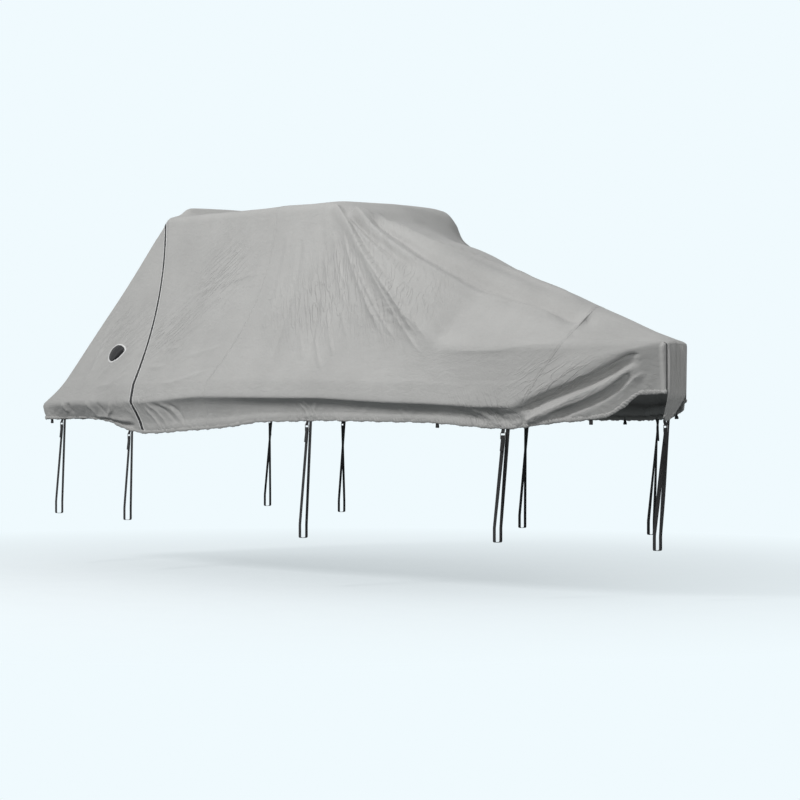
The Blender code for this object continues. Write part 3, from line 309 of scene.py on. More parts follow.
# Creases of the body: width on the left and on the right of its way, seen from outside, lift, how much of
# its length each end fades over, then the places that it runs through, as (station, line).
CREASES = (
    # the pulled ridges from the hard top's fore corner down to the nose
    (0.030, 0.036, 0.028, 0.12,
     ((1.27, 0.79), (1.76, 0.93), (2.08, 0.86), (2.59, 0.35), (2.96, 0.45), (3.40, 0.50))),
    (0.060, 0.095, -0.060, 0.16, ((1.45, 1.06), (1.75, 1.20), (2.36, 1.21), (3.11, 1.17), (3.60, 1.28))),
    (0.080, 0.050, 0.052, 0.10,
     ((1.30, 1.28), (1.47, 1.34), (1.83, 1.45), (2.13, 1.41), (2.95, 1.31), (3.40, 1.45))),
    (0.018, 0.022, -0.024, 0.16, ((1.37, 1.72), (1.55, 1.66), (1.89, 1.59), (2.19, 1.52))),
    (0.012, 0.020, 0.014, 0.16, ((1.36, 1.80), (1.60, 1.78), (1.90, 1.76), (2.20, 1.74))),
    (0.012, 0.018, 0.007, 0.20, ((1.30, 1.02), (1.52, 1.06), (1.86, 1.08), (2.10, 1.02))),
    (0.012, 0.018, 0.007, 0.20, ((1.62, 0.70), (1.90, 0.72), (2.20, 0.56), (2.50, 0.20))),
    # the crest along the cabin's fore corner
    (0.016, 0.060, 0.024, 0.12,
     ((1.12, 1.90), (1.31, 1.92), (1.49, 2.00), (1.89, 2.04), (2.29, 2.08), (2.47, 2.10))),
    (0.030, 0.014, -0.018, 0.20, ((1.40, 1.84), (1.51, 1.88), (1.68, 1.96), (1.95, 1.97), (2.20, 1.98))),
    # thin creases on the side under the crest
    (0.011, 0.024, 0.0110, 0.18, ((1.36, 2.06), (1.66, 2.20), (1.98, 2.36), (2.15, 2.45))),
    (0.011, 0.024, 0.0095, 0.18, ((1.57, 2.12), (1.92, 2.26), (2.32, 2.47))),
    (0.010, 0.022, 0.0090, 0.20, ((1.22, 2.13), (1.40, 2.25), (1.57, 2.34))),
    (0.010, 0.022, 0.0075, 0.20, ((1.27, 2.20), (1.46, 2.34), (1.68, 2.46))),
    (0.010, 0.020, 0.0060, 0.25, ((1.12, 2.24), (1.22, 2.34), (1.35, 2.45))),
    (0.010, 0.020, 0.0075, 0.22, ((1.21, 2.60), (1.38, 2.76), (1.61, 2.94))),
    (0.010, 0.020, 0.0065, 0.22, ((1.37, 2.52), (1.52, 2.66), (1.70, 2.83))),
    (0.010, 0.018, 0.0055, 0.25, ((1.60, 2.50), (1.68, 2.57), (1.78, 2.66))),
    (0.010, 0.018, 0.0050, 0.25, ((1.10, 2.70), (1.19, 2.79), (1.28, 2.88))),
    (0.012, 0.022, 0.0060, 0.25, ((1.86, 2.30), (2.02, 2.40), (2.20, 2.52))),
    (0.012, 0.024, 0.0070, 0.22, ((1.78, 2.06), (2.02, 2.12), (2.34, 2.26), (2.62, 2.42))),
    (0.012, 0.024, 0.0070, 0.22, ((1.98, 1.98), (2.24, 2.08), (2.52, 2.20))),
    (0.010, 0.020, 0.0060, 0.22, ((2.10, 1.90), (2.36, 2.00), (2.60, 2.10))),
    (0.012, 0.020, 0.0060, 0.25, ((2.20, 1.70), (2.48, 1.86), (2.80, 2.00))),
    (0.012, 0.020, 0.0050, 0.25, ((2.35, 1.62), (2.62, 1.76), (2.95, 1.92))),
    (0.014, 0.014, -0.0060, 0.30, ((2.12, 1.20), (2.14, 1.36), (2.13, 1.52))),
    # the rail and the deck edge near the bow
    (0.020, 0.020, 0.0030, 0.15, ((2.68, 2.14), (3.07, 2.13), (3.25, 2.00), (3.70, 1.92), (4.16, 1.80))),
    (0.014, 0.024, -0.0060, 0.15, ((2.95, 1.84), (3.40, 1.80), (3.80, 1.76), (4.14, 1.66))),
    (0.014, 0.022, 0.0070, 0.20, ((3.00, 1.60), (3.45, 1.62), (3.95, 1.60))),
    # the deep pulled fold on the bow's side and the one below it
    (0.022, 0.014, -0.030, 0.10, ((3.44, 4.10), (3.62, 4.06), (3.84, 4.06), (4.00, 4.06), (4.13, 3.95))),
    (0.012, 0.030, 0.022, 0.12, ((3.36, 4.78), (3.60, 4.52), (3.82, 4.30), (3.98, 4.24), (4.12, 4.16))),
    (0.016, 0.014, -0.022, 0.15, ((3.60, 4.74), (3.79, 4.51), (3.96, 4.41), (4.11, 4.34))),
    (0.016, 0.022, 0.010, 0.20, ((3.70, 4.86), (3.88, 4.66), (4.04, 4.56), (4.16, 4.50))),
    (0.014, 0.016, -0.010, 0.20, ((3.18, 4.06), (3.28, 4.40), (3.36, 4.86))),
    (0.014, 0.016, 0.010, 0.20, ((3.05, 4.10), (3.18, 4.46), (3.30, 4.92))),
    (0.014, 0.016, -0.009, 0.20, ((2.90, 4.12), (3.06, 4.50), (3.20, 4.92))),
    # pulls that spread from the zip and the hem
    (0.012, 0.022, 0.0045, 0.25, ((-0.80, 2.51), (-0.19, 2.42), (0.44, 2.36))),
    (0.012, 0.022, 0.0040, 0.25, ((-0.35, 2.85), (0.02, 2.82), (0.31, 2.79))),
    (0.012, 0.022, 0.0050, 0.25, ((-0.62, 3.02), (-0.10, 2.98), (0.40, 2.93))),
    (0.010, 0.018, 0.0050, 0.25, ((-0.92, 2.81), (-0.70, 2.79), (-0.50, 2.78))),
    (0.010, 0.018, 0.0050, 0.25, ((-1.00, 2.90), (-0.80, 2.90), (-0.62, 2.89))),
    (0.012, 0.016, 0.0080, 0.25, ((-0.86, 4.05), (-0.70, 4.35), (-0.52, 4.85))),
    (0.012, 0.016, 0.0080, 0.25, ((-0.98, 4.15), (-0.86, 4.45), (-0.72, 4.92))),
    (0.012, 0.016, -0.0080, 0.25, ((-0.78, 4.02), (-0.50, 4.30), (-0.30, 4.80))),
    (0.012, 0.016, 0.0070, 0.25, ((-0.60, 4.05), (-0.34, 4.35), (-0.16, 4.80))),
    (0.012, 0.016, -0.0070, 0.25, ((-0.40, 4.10), (-0.20, 4.40), (-0.06, 4.80))),
    (0.010, 0.014, 0.0070, 0.25, ((1.36, 4.06), (1.41, 4.50), (1.43, 4.96))),
    (0.010, 0.014, 0.0060, 0.25, ((1.28, 4.20), (1.36, 4.60), (1.40, 4.96))),
    (0.010, 0.014, 0.0060, 0.25, ((1.54, 4.16), (1.49, 4.60), (1.46, 4.96))),
    (0.010, 0.014, 0.0060, 0.25, ((2.44, 4.06), (2.48, 4.50), (2.52, 4.92))),
    (0.010, 0.014, 0.0055, 0.25, ((2.56, 4.12), (2.57, 4.55), (2.58, 4.92))),
    # port: folds of the same kinds
    (0.022, 0.040, 0.014, 0.20, ((1.24, -1.60), (1.70, -1.45), (2.40, -1.30), (3.30, -1.20))),
    (0.024, 0.024, -0.012, 0.20, ((1.20, -1.85), (1.80, -1.75), (2.60, -1.60))),
    (0.040, 0.018, 0.016, 0.14, ((1.14, -2.00), (1.60, -2.02), (2.20, -2.02), (2.60, -2.05))),
    (0.024, 0.012, 0.0080, 0.20, ((1.20, -2.20), (1.60, -2.40), (2.10, -2.62))),
    (0.022, 0.012, 0.0070, 0.22, ((0.90, -2.30), (1.10, -2.52), (1.40, -2.76))),
    (0.022, 0.012, 0.0060, 0.22, ((0.40, -2.50), (0.60, -2.66), (0.90, -2.86))),
    (0.022, 0.012, 0.0060, 0.22, ((-0.70, -2.60), (-0.20, -2.52), (0.30, -2.46))),
    (0.024, 0.020, -0.016, 0.15, ((3.30, -4.30), (3.70, -4.15), (4.10, -4.10))),
    (0.014, 0.026, 0.012, 0.15, ((3.20, -4.70), (3.60, -4.45), (4.05, -4.35))),
)

# Creases of the stern panel, whose places are (across, down).
STERN_CREASES = (
    (0.012, 0.020, 0.0050, 0.25, ((1.51, 3.06), (1.46, 2.86), (1.42, 2.67))),
    (0.012, 0.020, 0.0050, 0.25, ((1.58, 3.00), (1.72, 2.82), (1.86, 2.66))),
    (0.012, 0.020, 0.0050, 0.25, ((1.73, 3.00), (1.86, 2.90), (1.97, 2.82))),
    (0.012, 0.018, 0.0045, 0.25, ((1.62, 3.14), (1.80, 2.98), (1.97, 2.90))),
    (0.014, 0.018, 0.0110, 0.25, ((1.40, 3.90), (1.40, 4.20), (1.42, 4.60))),
    (0.014, 0.018, -0.0100, 0.25, ((1.46, 3.95), (1.45, 4.25), (1.46, 4.70))),
    (0.016, 0.020, 0.0100, 0.25, ((1.62, 3.90), (1.65, 4.30), (1.67, 4.80))),
    (0.014, 0.018, -0.0100, 0.25, ((1.72, 3.92), (1.74, 4.30), (1.78, 4.85))),
    (0.014, 0.020, 0.0120, 0.25, ((1.84, 3.92), (1.82, 4.30), (1.74, 4.75))),
    (0.020, 0.020, 0.0120, 0.25, ((1.60, 4.86), (1.78, 4.70), (1.98, 4.62))),
    (0.016, 0.020, -0.0140, 0.25, ((1.66, 4.96), (1.82, 4.84), (1.98, 4.78))),
    (0.016, 0.024, 0.0090, 0.22, ((0.90, 2.20), (0.95, 2.60), (1.05, 3.00))),
    (0.020, 0.020, 0.0080, 0.22, ((0.55, 2.15), (0.62, 2.55), (0.80, 2.95))),
    (0.020, 0.020, -0.0080, 0.22, ((0.20, 2.10), (0.22, 2.60), (0.35, 3.00))),
    (0.020, 0.020, 0.0080, 0.22, ((-0.30, 2.10), (-0.40, 2.60), (-0.60, 3.00))),
    (0.020, 0.020, -0.0080, 0.22, ((-0.75, 2.20), (-0.85, 2.60), (-0.95, 3.00))),
    (0.014, 0.020, 0.0060, 0.25, ((-1.50, 3.05), (-1.60, 2.85), (-1.80, 2.65))),
    (0.014, 0.020, 0.0100, 0.25, ((-1.42, 3.92), (-1.44, 4.30), (-1.46, 4.75))),
    (0.014, 0.020, -0.0090, 0.25, ((-1.68, 3.95), (-1.72, 4.30), (-1.74, 4.80))),
)

# Patches of small creases: middle x and z, half-length, half-height, lift, ripple length, seed, side
# (0 is both).
CRUMPLES = (
    (2.30, -1.00, 0.34, 0.26, 0.0052, 0.050, 21, -1),
    (2.05, -0.80, 0.22, 0.18, 0.0040, 0.040, 22, -1),
    (2.95, -1.05, 0.40, 0.14, 0.0030, 0.060, 23, -1),
    (2.30, -0.95, 0.40, 0.30, 0.0045, 0.055, 24, 1),
    (-0.90, -1.66, 0.22, 0.10, 0.0060, 0.050, 25, 0),
    (3.30, -1.66, 0.24, 0.10, 0.0055, 0.050, 26, 0),
)
# Where the cloth is drawn into fine pulls: middle x and z, half-length, half-height.
STEEP_PULLS = (
    (1.30, -0.85, 0.55, 0.30),
    (1.55, -0.45, 0.35, 0.25),
    (2.20, -0.85, 0.35, 0.30),
    (-0.75, -1.65, 0.30, 0.10),
    (1.45, -1.72, 0.20, 0.12),
    (3.20, -1.68, 0.30, 0.14),
)
RISING_PULLS = (
    (-1.35, -1.05, 0.40, 0.35),
    (-0.60, -1.05, 0.35, 0.25),
    (-0.10, -0.55, 0.40, 0.35),
    (3.70, -1.45, 0.35, 0.16),
)
# How strongly the elastic gathers the hem along the boat: x, strength.
GATHER_ALONG = (
    (-2.3, 1.2), (-1.6, 1.3), (-0.9, 1.4), (-0.3, 1.0), (0.2, 0.45), (1.0, 0.35),
    (1.45, 0.8), (1.9, 0.45), (2.5, 0.8), (3.0, 0.9), (3.5, 1.2), (4.2, 0.6),
)
# The two kinds of gather: seed, number of ripples, shortest and longest ripple, how far they lean. Then
# their lifts.
FINE_GATHERS, BROAD_GATHERS = (11, 7, 0.030, 0.070, 0.8), (12, 5, 0.09, 0.20, 1.1)
FINE_LIFT, BROAD_LIFT = 0.0034, 0.0060

# ---------------------------------------------------------------- how the pieces lie and are made
SEAM_GAP, LAP = 0.0008, 0.0005  # the solids' gaps at seams and laps
WEBBING_WIDTH, WEBBING, LOOP_WIDTH = 0.030, 0.0020, 0.025
WEBBING_ACROSS = (-1.0, -0.8, -0.3, 0.3, 0.8, 1.0)  # its columns, as shares of half its width
WEBBING_CURL = 0.0003  # how far its edges curl
STRAP_STEP, LOOP_STEP = 0.006, 0.0025  # rows along a strap, and along a loop
CLEAR, SEWN = 0.0005, 0.0008  # from webbing to what it passes round, and to the cloth it is sewn to
GAP_WIDTH, GAP_HEIGHT = 0.060, 0.100  # the empty space that each strap closes round
GAP_OUT = 0.004  # how far outboard of the hem its middle is
STRAP_SOFT = 0.45  # how far down its straight run a strap has an extra, softly bent point
TAIL_OUT = 0.006  # how far a strap's free end stands off
CLOTH_SHOWN = 0.0018
MERGED = 1e-5  # points nearer than this are one

# Felled seam: width, height, how deep its edges lie in the cloth, its rings, and its section (across, up).
SEAM_WIDTH, SEAM_HEIGHT, SEAM_SUNK, SEAM_STEP = 0.017, 0.0012, 0.0004, 0.012
SEAM_SECTION = ((-1.0, 0.0), (-0.92, 1.0), (-0.3, 1.15), (0.3, 1.15), (0.92, 1.0), (1.0, 0.0))
STITCH_PITCH, STITCH_LENGTH, STITCH_WIDTH, STITCH_HEIGHT = 0.0085, 0.0055, 0.0009, 0.0008
STITCH_ROWS, STITCH_LIFT = (-0.6, 0.6), 1.1  # where they run across the seam, and their height over its own

# Zip: tape, the pale welt along each side of it, and the coil, whose teeth come every three rings.
ZIP_SHOWN, ZIP_TAPE, ZIP_STEP = 0.038, 0.0015, 0.010
ZIP_SECTION = ((-1.0, 0.3), (-0.9, 1.0), (-0.35, 1.0), (0.35, 1.0), (0.9, 1.0), (1.0, 0.3))
WELT_GAP, WELT_RISE, WELT_HALF_WIDTH, WELT_HALF_HEIGHT = 0.0035, 0.0012, 0.0042, 0.0026
COIL_STEP, COIL_RINGS = 0.0016, 3
COIL_HALF_WIDTH, COIL_HALF_HEIGHT = (0.0026, 0.0009), (0.0010, 0.0007)  # the core, and what a tooth adds

# The hem's casing, and the gathers that its elastic ruches it into.
HEM_HALF_HEIGHT, HEM_HALF_WIDTH = 0.0175, 0.0085
HEM_STEP, HEM_AROUND, HEM_RISE = 0.0045, 12, 0.72  # rings along it, sides round it, share above the edge
HEM_BAND = 0.25  # from the gunwale down to the hem
RUCHE_PITCH, RUCHE_DRIFT, RUCHE_SLANT = 0.026, 0.10, 2.2  # length of a gather, how uneven, how far it leans
RUCHE_HIGH, RUCHE_WIDE = (0.90, 0.10), (0.55, 0.75)  # shares of the casing between gathers, and what one adds
SWELLS = ((0.16, 0.19, 1.3), (0.10, 0.083, 0.0))  # slower swelling of the casing: share, length, start

# Where the cloth can't move: x, and how far round it that holds.
STILL_BAR, STILL_ZIP, STILL_NOSE = (-1.19, 0.10), (-0.95, 0.25), (4.225, 0.04)
ROOF_ABOVE, FLANK_BEYOND = -0.2, 0.6  # height over which cloth is roof, and half-width past which it is flank
EDGE_EASE = 0.05  # how far in from a panel's edge its creases are at full height

# Fine panels: name, first station, stretches of rows (to station, rows), cells in each stretch between two
# lines to starboard and to port, flat size, area.
PANELS = (
    ("aft", -1.19, ((SEAM_A, 126),), (20, 12, 110, 14, 22), (20, 12, 66, 10, 18), (1.80, 5.20), 7.3),
    (
        "middle",
        SEAM_A,
        ((1.05, 36), (2.65, 126), (SEAM_B, 44)),
        (13, 22, 96, 10, 22),
        (10, 12, 34, 6, 11),
        (3.45, 4.90),
        13.6,
    ),
    ("bow", SEAM_B, ((NOSE_STATION, 84),), (16, 24, 60, 30, 30), (12, 16, 40, 20, 20), (0.80, 2.70), 1.56),
)
CREASE_GAIN, CREASE_EDGE = 1.35, 1.3  # how proud the creases stand, and how sharp they are (2 is round)
# How deep the cloth tucks in under the gunwale, and the share of that along the boat.
TUCK = 0.036
TUCK_ENDS = ((-2.3, 0.0), (-1.2, 0.05), (-0.5, 0.6), (0.1, 1.0), (3.0, 1.0), (3.6, 0.3), (4.2, 0.0))
TUCK_FOOT, TUCK_EASE, TUCK_LEAN = 0.92, 0.22, 0.8  # share of the band where it ends, over how much, how high
NOSE_RETURN = ((4.2385, -0.1155), (4.2385, 0.0865))  # where the bow's cloth turns in beside the curtain: x, y
RETURN_ROWS = 6
STERN_STARBOARD, STERN_PORT, STERN_DOWNS = (74, 112), (36, 60), (84, 14, 20)  # cells between its lines
STERN_FLAT, STERN_AREA = (3.60, 2.45), 6.9
SEWN_INSIDE = ("stern_panel", "aft_panel", "middle_panel", "bow_panel", "nose_cap")
ZIP_TOP = 2.0  # the line at which the zips start
NOSE_ACROSS, NOSE_DOWN, NOSE_SEWN = 61, 121, 0.03  # columns, rows, the share over which it leaves its seam
# Fine pleats of the curtain, as in NOSE_FOLDS.
NOSE_PLEATS = (
    (-0.86, 0.08, 0.012, -1.19, -1.73),
    (-0.62, 0.06, -0.010, -1.19, -1.70),
    (-0.34, 0.07, 0.014, -1.21, -1.73),
    (0.02, 0.06, -0.012, -1.19, -1.55),
    (0.28, 0.08, -0.010, -1.19, -1.66),
    (0.56, 0.05, 0.010, -1.19, -1.60),
    (0.78, 0.06, 0.010, -1.25, -1.73),
)
VENT_POINTS, VENT_TAPER = 64, 0.55  # places round it, and how much narrower its point is than its middle
# Rings of a vent: share of its outline, height over the cloth. First its pale rim, then its dome.
VENT_RING = ((1.10, 0.0), (1.10, 0.0014), (1.07, 0.0028), (0.98, 0.0032), (0.90, 0.0028), (0.88, 0.0))
VENT_DOME = (
    (0.93, 0.0008),
    (0.93, 0.0050),
    (0.90, 0.0085),
    (0.84, 0.0115),
    (0.74, 0.0148),
    (0.60, 0.0178),
    (0.44, 0.0198),
    (0.26, 0.0208),
    (0.05, 0.0211),
)
FLOOR_Z, FLOOR_RADIUS, FLOOR_CLEAR, FLOOR_FADED = -3.03, 40.0, 3.5, 8.0
FLOOR_GLOW = 0.16  # the light that the floor throws back up
FLOOR_DARK, FLOOR_PALE, FLOOR_LIT = (0.80, 0.83, 0.85), (0.83, 0.86, 0.88), 0.55
BACKDROP = (0.871, 0.956, 0.991)
SKY, SKY_STRENGTH = (0.97, 0.99, 1.0), 0.48
# Lamps: name, place, aim, size, power.
LAMPS = (
    ("key", (1.2, -9.8, 6.2), (1.0, -0.5, -0.9), (2.4, 2.4), 960.0),
    ("fill", (14.0, -3.5, 3.0), (2.5, 0.0, -0.8), (4.0, 4.0), 235.0),
)
CAMERA_PLACE, CAMERA_TURN = (16.498, -12.942, -1.589), (90.005, 0.0, 49.787)  # metres, degrees
CAMERA_LENS, CAMERA_FILM = 112.5, 36.0  # millimetres

# Bumps: strength, height in metres.
CRINKLE_BUMP, PULL_BUMP, WEAVE_BUMP = (0.55, 0.009), (0.9, 0.0045), (0.5, 0.0006)
RIB_BUMP, GRAIN_BUMP = (0.6, 0.0008), (0.25, 0.0004)
WEAVE_PITCH, RIB_PITCH = 0.0016, 0.0030
PULL_LENGTH, PULL_WIDTH = 0.30, 0.035


# ---------------------------------------------------------------- the cloth's surface
def smooth(x, xs, ys):
    """Cubic through the points that never overshoots them; x may be an array."""
    xs, ys = np.asarray(xs, float), np.asarray(ys, float)
    step = np.diff(xs)
    slope = np.diff(ys) / step
    tangent = np.zeros_like(ys)
    tangent[0], tangent[-1] = slope[0], slope[-1]
    for i in range(1, len(xs) - 1):
        if slope[i - 1] * slope[i] > 0:
            before, after = 2 * step[i] + step[i - 1], step[i] + 2 * step[i - 1]
            tangent[i] = (before + after) / (before / slope[i - 1] + after / slope[i])
    i = np.clip(np.searchsorted(xs, x, side="right") - 1, 0, len(xs) - 2)
    t = np.clip((x - xs[i]) / step[i], 0.0, 1.0)
    return (
        ys[i] * (1 + 2 * t) * (1 - t) ** 2
        + tangent[i] * step[i] * t * (1 - t) ** 2
        + ys[i + 1] * t**2 * (3 - 2 * t)
        + tangent[i + 1] * step[i] * t**2 * (t - 1)
    )


def line_table(name, side):
    """The rows of a named line: side is -1 for starboard and 1 for port."""
    starboard = side < 0
    tables = {
        "centre": CENTRE,
        "rim": RIM_STARBOARD if starboard else RIM_PORT,
        "shoulder": SHOULDER_STARBOARD if starboard else SHOULDER_PORT,
        "knee": KNEE,
        "gunwale": GUNWALE,
        "hem": HEM_STARBOARD if starboard else HEM_PORT,
    }
    return np.array(tables[name])


def on_line(name, side, x):
    """Points of a named line at each x."""
    x = np.asarray(x, float)
    table = line_table(name, side)
    half = smooth(x, table[:, 0], table[:, 1])
    if side > 0:
        share = np.array(PORT_SHARE)
        half = half * smooth(x, share[:, 0], share[:, 1])
    return np.stack([x, side * half, smooth(x, table[:, 0], table[:, 2])], axis=-1)


def station_value(column, station):
    """A column of STATIONS at a station: 0 to 5 give x on each line, 6 how far the side bows."""
    rows = np.array(STATIONS)
    return smooth(station, rows[:, 0], rows[:, column])


def length_of(v):
    return np.linalg.norm(v, axis=-1, keepdims=True)


def chain_point(corners, softness, place):
    """For rows of corners (n, lines, 3), the point at a place 0 to lines - 1 with the corners rounded."""
    last = corners.shape[1] - 1
    line = min(int(place), last - 1)
    part = place - line
    a, b = corners[:, line], corners[:, line + 1]
    length = np.maximum(length_of(b - a), 1e-9)
    point = a + (b - a) * part
    for corner, along in ((line, part * length), (line + 1, (1 - part) * length)):
        if corner in (0, last):
            continue
        before, here, after = corners[:, corner - 1], corners[:, corner], corners[:, corner + 1]
        back, on = length_of(here - before), length_of(after - here)
        reach = np.minimum(softness[corner], 0.48 * np.minimum(back, on))
        other = after - here if corner == line + 1 else before - here
        away = other / np.maximum(length_of(other), 1e-9)
        inward = ((b if corner == line else a) - here) / length
        pull = (reach - along) ** 2 / (4 * np.maximum(reach, 1e-9))
        bent = here + inward * (along + pull) + away * pull
        point = np.where(along < reach, bent, point)
    return point


def body_softness():
    return [0.0] + [BENDS[name] for name in LINE_NAMES[1:5]] + [0.0]


def side_sag(corners, side, part, bow, sag):
    """How points between shoulder and knee move: towards the bow, and inwards."""
    down = corners[:, 3] - corners[:, 2]
    outward = np.stack([0 * down[:, 0], side * np.abs(down[:, 2]), np.abs(down[:, 1])], axis=-1)
    belly = 4 * part * (1 - part)
    forward = np.stack([bow * belly, 0 * bow, 0 * bow], axis=-1)
    return forward - outward / length_of(outward) * (sag * belly)[:, None]


def section_points(stations, places, side):
    """Points of the cover's outer face, (stations, places, 3), for places 0 to 5 on one side."""
    stations = np.asarray(stations, float)
    corners = np.stack(
        [on_line(name, side, station_value(k, stations)) for k, name in enumerate(LINE_NAMES)],
        axis=1,
    )
    fade = smooth(stations, (-2.0, 1.0, 2.2, 3.0, 4.2), (1.0, 1.0, 0.6, 0.15, 0.0))
    bow = station_value(6, stations)
    bar = np.exp(-(((stations - BAR_X) / BAR_WIDTH) ** 2))
    columns = []
    for place in places:
        point = chain_point(corners, body_softness(), place)
        if place < 1:
            crown = corners[:, 0] + (corners[:, 1] - corners[:, 0]) * place
            power = 2 if side < 0 else 1.4
            crown[:, 2] = corners[:, 0, 2] + (corners[:, 1, 2] - corners[:, 0, 2]) * place**power
            point = point * place**6 + crown * (1 - place**6)
        if 2 <= place < 3:
            point = point + side_sag(corners, side, place - 2, bow, SAG_SIDE * fade)
        if place < 1.2:
            ends = 1 + np.exp((np.abs(point[:, 1]) - BAR_HALF_LENGTH) / 0.02)
            point[:, 2] += BAR_RISE * bar / ends
        columns.append(point)
    return np.stack(columns, axis=1)


def at_place(station, across):
    """One point of the cover, by its station and line."""
    return section_points([station], [abs(across)], -1 if across >= 0 else 1)[0, 0]


def stern_outline(name, side, across):
    """Point of the knee, gunwale or hem line round the stern; across is 2 at the zip and 0 amidships."""
    corner_x, corner_half = STERN_CORNERS[name]
    foot_x = station_value(LINE_NAMES.index(name), ZIP_STATION)
    quarter = foot_x - corner_x + CORNER_LAP
    if across >= 1:
        run = quarter * (1 - (across - 1) ** 1.25)
    else:
        run = quarter + (corner_half - CORNER_LAP) * (1 - across)
    to_corner = foot_x - corner_x
    if run < to_corner - STERN_ROUND:
        return on_line(name, side, foot_x - run)
    start = on_line(name, side, corner_x + STERN_ROUND)
    corner = np.array([corner_x, side * corner_half, start[2]])
    if run > to_corner + STERN_ROUND:
        return np.array([corner_x, side * (corner_half - (run - to_corner)), start[2]])
    t = (run - to_corner + STERN_ROUND) / (2 * STERN_ROUND)
    end = corner - np.array([0.0, side * STERN_ROUND, 0.0])
    return start * (1 - t) ** 2 + corner * 2 * t * (1 - t) + end * t**2


def stern_points(places, downs):
    """Points of the stern panel, (downs, places, 3): places -2 to 2 across, downs 2 at its top to 5."""
    tops = [section_points([ZIP_STATION], [abs(p)], -1 if p >= 0 else 1)[0, 0] for p in places]
    sides = np.array([-1 if p >= 0 else 1 for p in places])
    column = np.abs(np.array(places))
    lines = [[stern_outline(n, s, c) for s, c in zip(sides, column)] for n in LINE_NAMES[3:]]
    corners = np.stack([np.array(tops)] + [np.array(line) for line in lines], axis=1)
    at_zip = smooth(column, (0.0, 1.0, 1.5, 2.0), (0.0, 0.0, 0.2, 1.0))
    at_crease = np.exp(-(((column - 1.0) / 0.35) ** 2))
    zip_bow = station_value(6, ZIP_STATION)
    padded = np.concatenate([corners[:, :1], corners[:, :1], corners], axis=1)
    rows = []
    for down in downs:
        point = chain_point(corners, [0.0, BENDS["knee"], BENDS["gunwale"], 0.0], down - 2)
        if down < 3:
            part = down - 2
            belly = 4 * part * (1 - part)
            slope = np.abs(corners[:, 1, 2] - corners[:, 0, 2])
            outward = np.stack([-slope * (1 - at_zip), sides * slope * column / 2, 0 * slope + 0.5], axis=-1)
            outward = outward / length_of(outward)
            share = (1 - at_zip) * (1 - at_crease) * belly
            point = point - outward * (SAG_STERN * share)[:, None]
            for side in (-1, 1):
                mine = sides == side
                bow = np.full(mine.sum(), zip_bow)
                sag = side_sag(padded[mine], side, part, bow, np.full(mine.sum(), SAG_SIDE))
                point[mine] = point[mine] + sag * at_zip[mine][:, None]
        rows.append(point)
    return np.stack(rows, axis=0)


# ---------------------------------------------------------------- creases and gathers
def normals_of(grid):
    """Outward normal at each point: rows run aft to fore, columns port to starboard."""
    along, across = np.gradient(grid, axis=0), np.gradient(grid, axis=1)
    normal = np.cross(across, along)
    return normal / np.maximum(length_of(normal), 1e-12)


def route_of(places, on_stern):
    """Points every few centimetres along a crease, given by its places on the cloth."""
    route = []
    for (a, b), (c, d) in zip(places, places[1:]):
        for t in np.linspace(0.0, 1.0, 7)[: 7 if (c, d) == places[-1] else 6]:
            u, v = a + (c - a) * t, b + (d - b) * t
            route.append(stern_points([u], [v])[0, 0] if on_stern else at_place(u, v))
    return np.array(route)


def crease_lift(points, normals, creases, on_stern):
    """How far the creases lift or sink each point. A crease fades at its ends and has two widths."""
    lift = np.zeros(points.shape[:-1])
    flat, facing = points.reshape(-1, 3), normals.reshape(-1, 3)
    total = lift.reshape(-1)
    for left_width, right_width, height, fade, places in creases:
        route = route_of(places, on_stern)
        reach = 3.2 * max(left_width, right_width)
        near = ((flat > route.min(0) - reach) & (flat < route.max(0) + reach)).all(axis=1)
        if not near.any():
            continue
        mine, outward = flat[near], facing[near]
        best = np.full(len(mine), 1e9)
        place, signed = np.zeros(len(mine)), np.zeros(len(mine))
        for i, (a, b) in enumerate(zip(route, route[1:])):
            step = b - a
            t = np.clip((mine - a) @ step / max(step @ step, 1e-12), 0.0, 1.0)
            away = mine - (a + t[:, None] * step)
            gap = np.linalg.norm(away, axis=1)
            closer = gap < best
            best = np.where(closer, gap, best)
            place = np.where(closer, (i + t) / (len(route) - 1), place)
            aside = np.einsum("ij,ij->i", away, np.cross(outward, step))
            signed = np.where(closer, np.sign(aside) * gap, signed)
        width = np.where(signed > 0, left_width, right_width)
        ends = np.clip(np.minimum(place, 1 - place) / fade, 0.0, 1.0)
        ends = ends * ends * (3 - 2 * ends)
        total[near] += CREASE_GAIN * height * np.exp(-np.abs(signed / width) ** CREASE_EDGE) * ends
    return total.reshape(points.shape[:-1])


def waves(u, v, seed, count, low, high, tilt):
    """Sum of uneven ripples over the cloth: u along it and v across it in metres."""
    draws = np.random.default_rng(seed)
    total = np.zeros(np.shape(u))
    for _ in range(count):
        length = draws.uniform(low, high)
        lean = draws.normal(0.0, tilt)
        phase, weight = draws.uniform(0, 2 * math.pi), draws.uniform(0.5, 1.0)
        slow = np.sin(2 * math.pi * (u * lean * 0.6 + v * 0.4) / (3.1 * length) + phase * 1.7)
        total += weight * np.sin(2 * math.pi * (u + lean * v) / length + phase) * (0.55 + 0.45 * slow)
    return total / count**0.5


def uneven(points):
    """The slow waves that the solids have too."""
    x, y, z = points[..., 0], points[..., 1], points[..., 2]
    wave = np.sin(5.1 * x + 2.3 * y - 1.7 * z) * np.sin(3.7 * z + 1.9 * x + 0.8)
    wave += 0.6 * np.sin(9.3 * x - 4.1 * z + 1.1) * np.sin(6.2 * y + 2.0 * x)
    on_roof = np.exp(-((x / 0.5) ** 2) - (y / 0.4) ** 2) * (z > -0.1)
    return 0.004 * wave * (1 - on_roof)


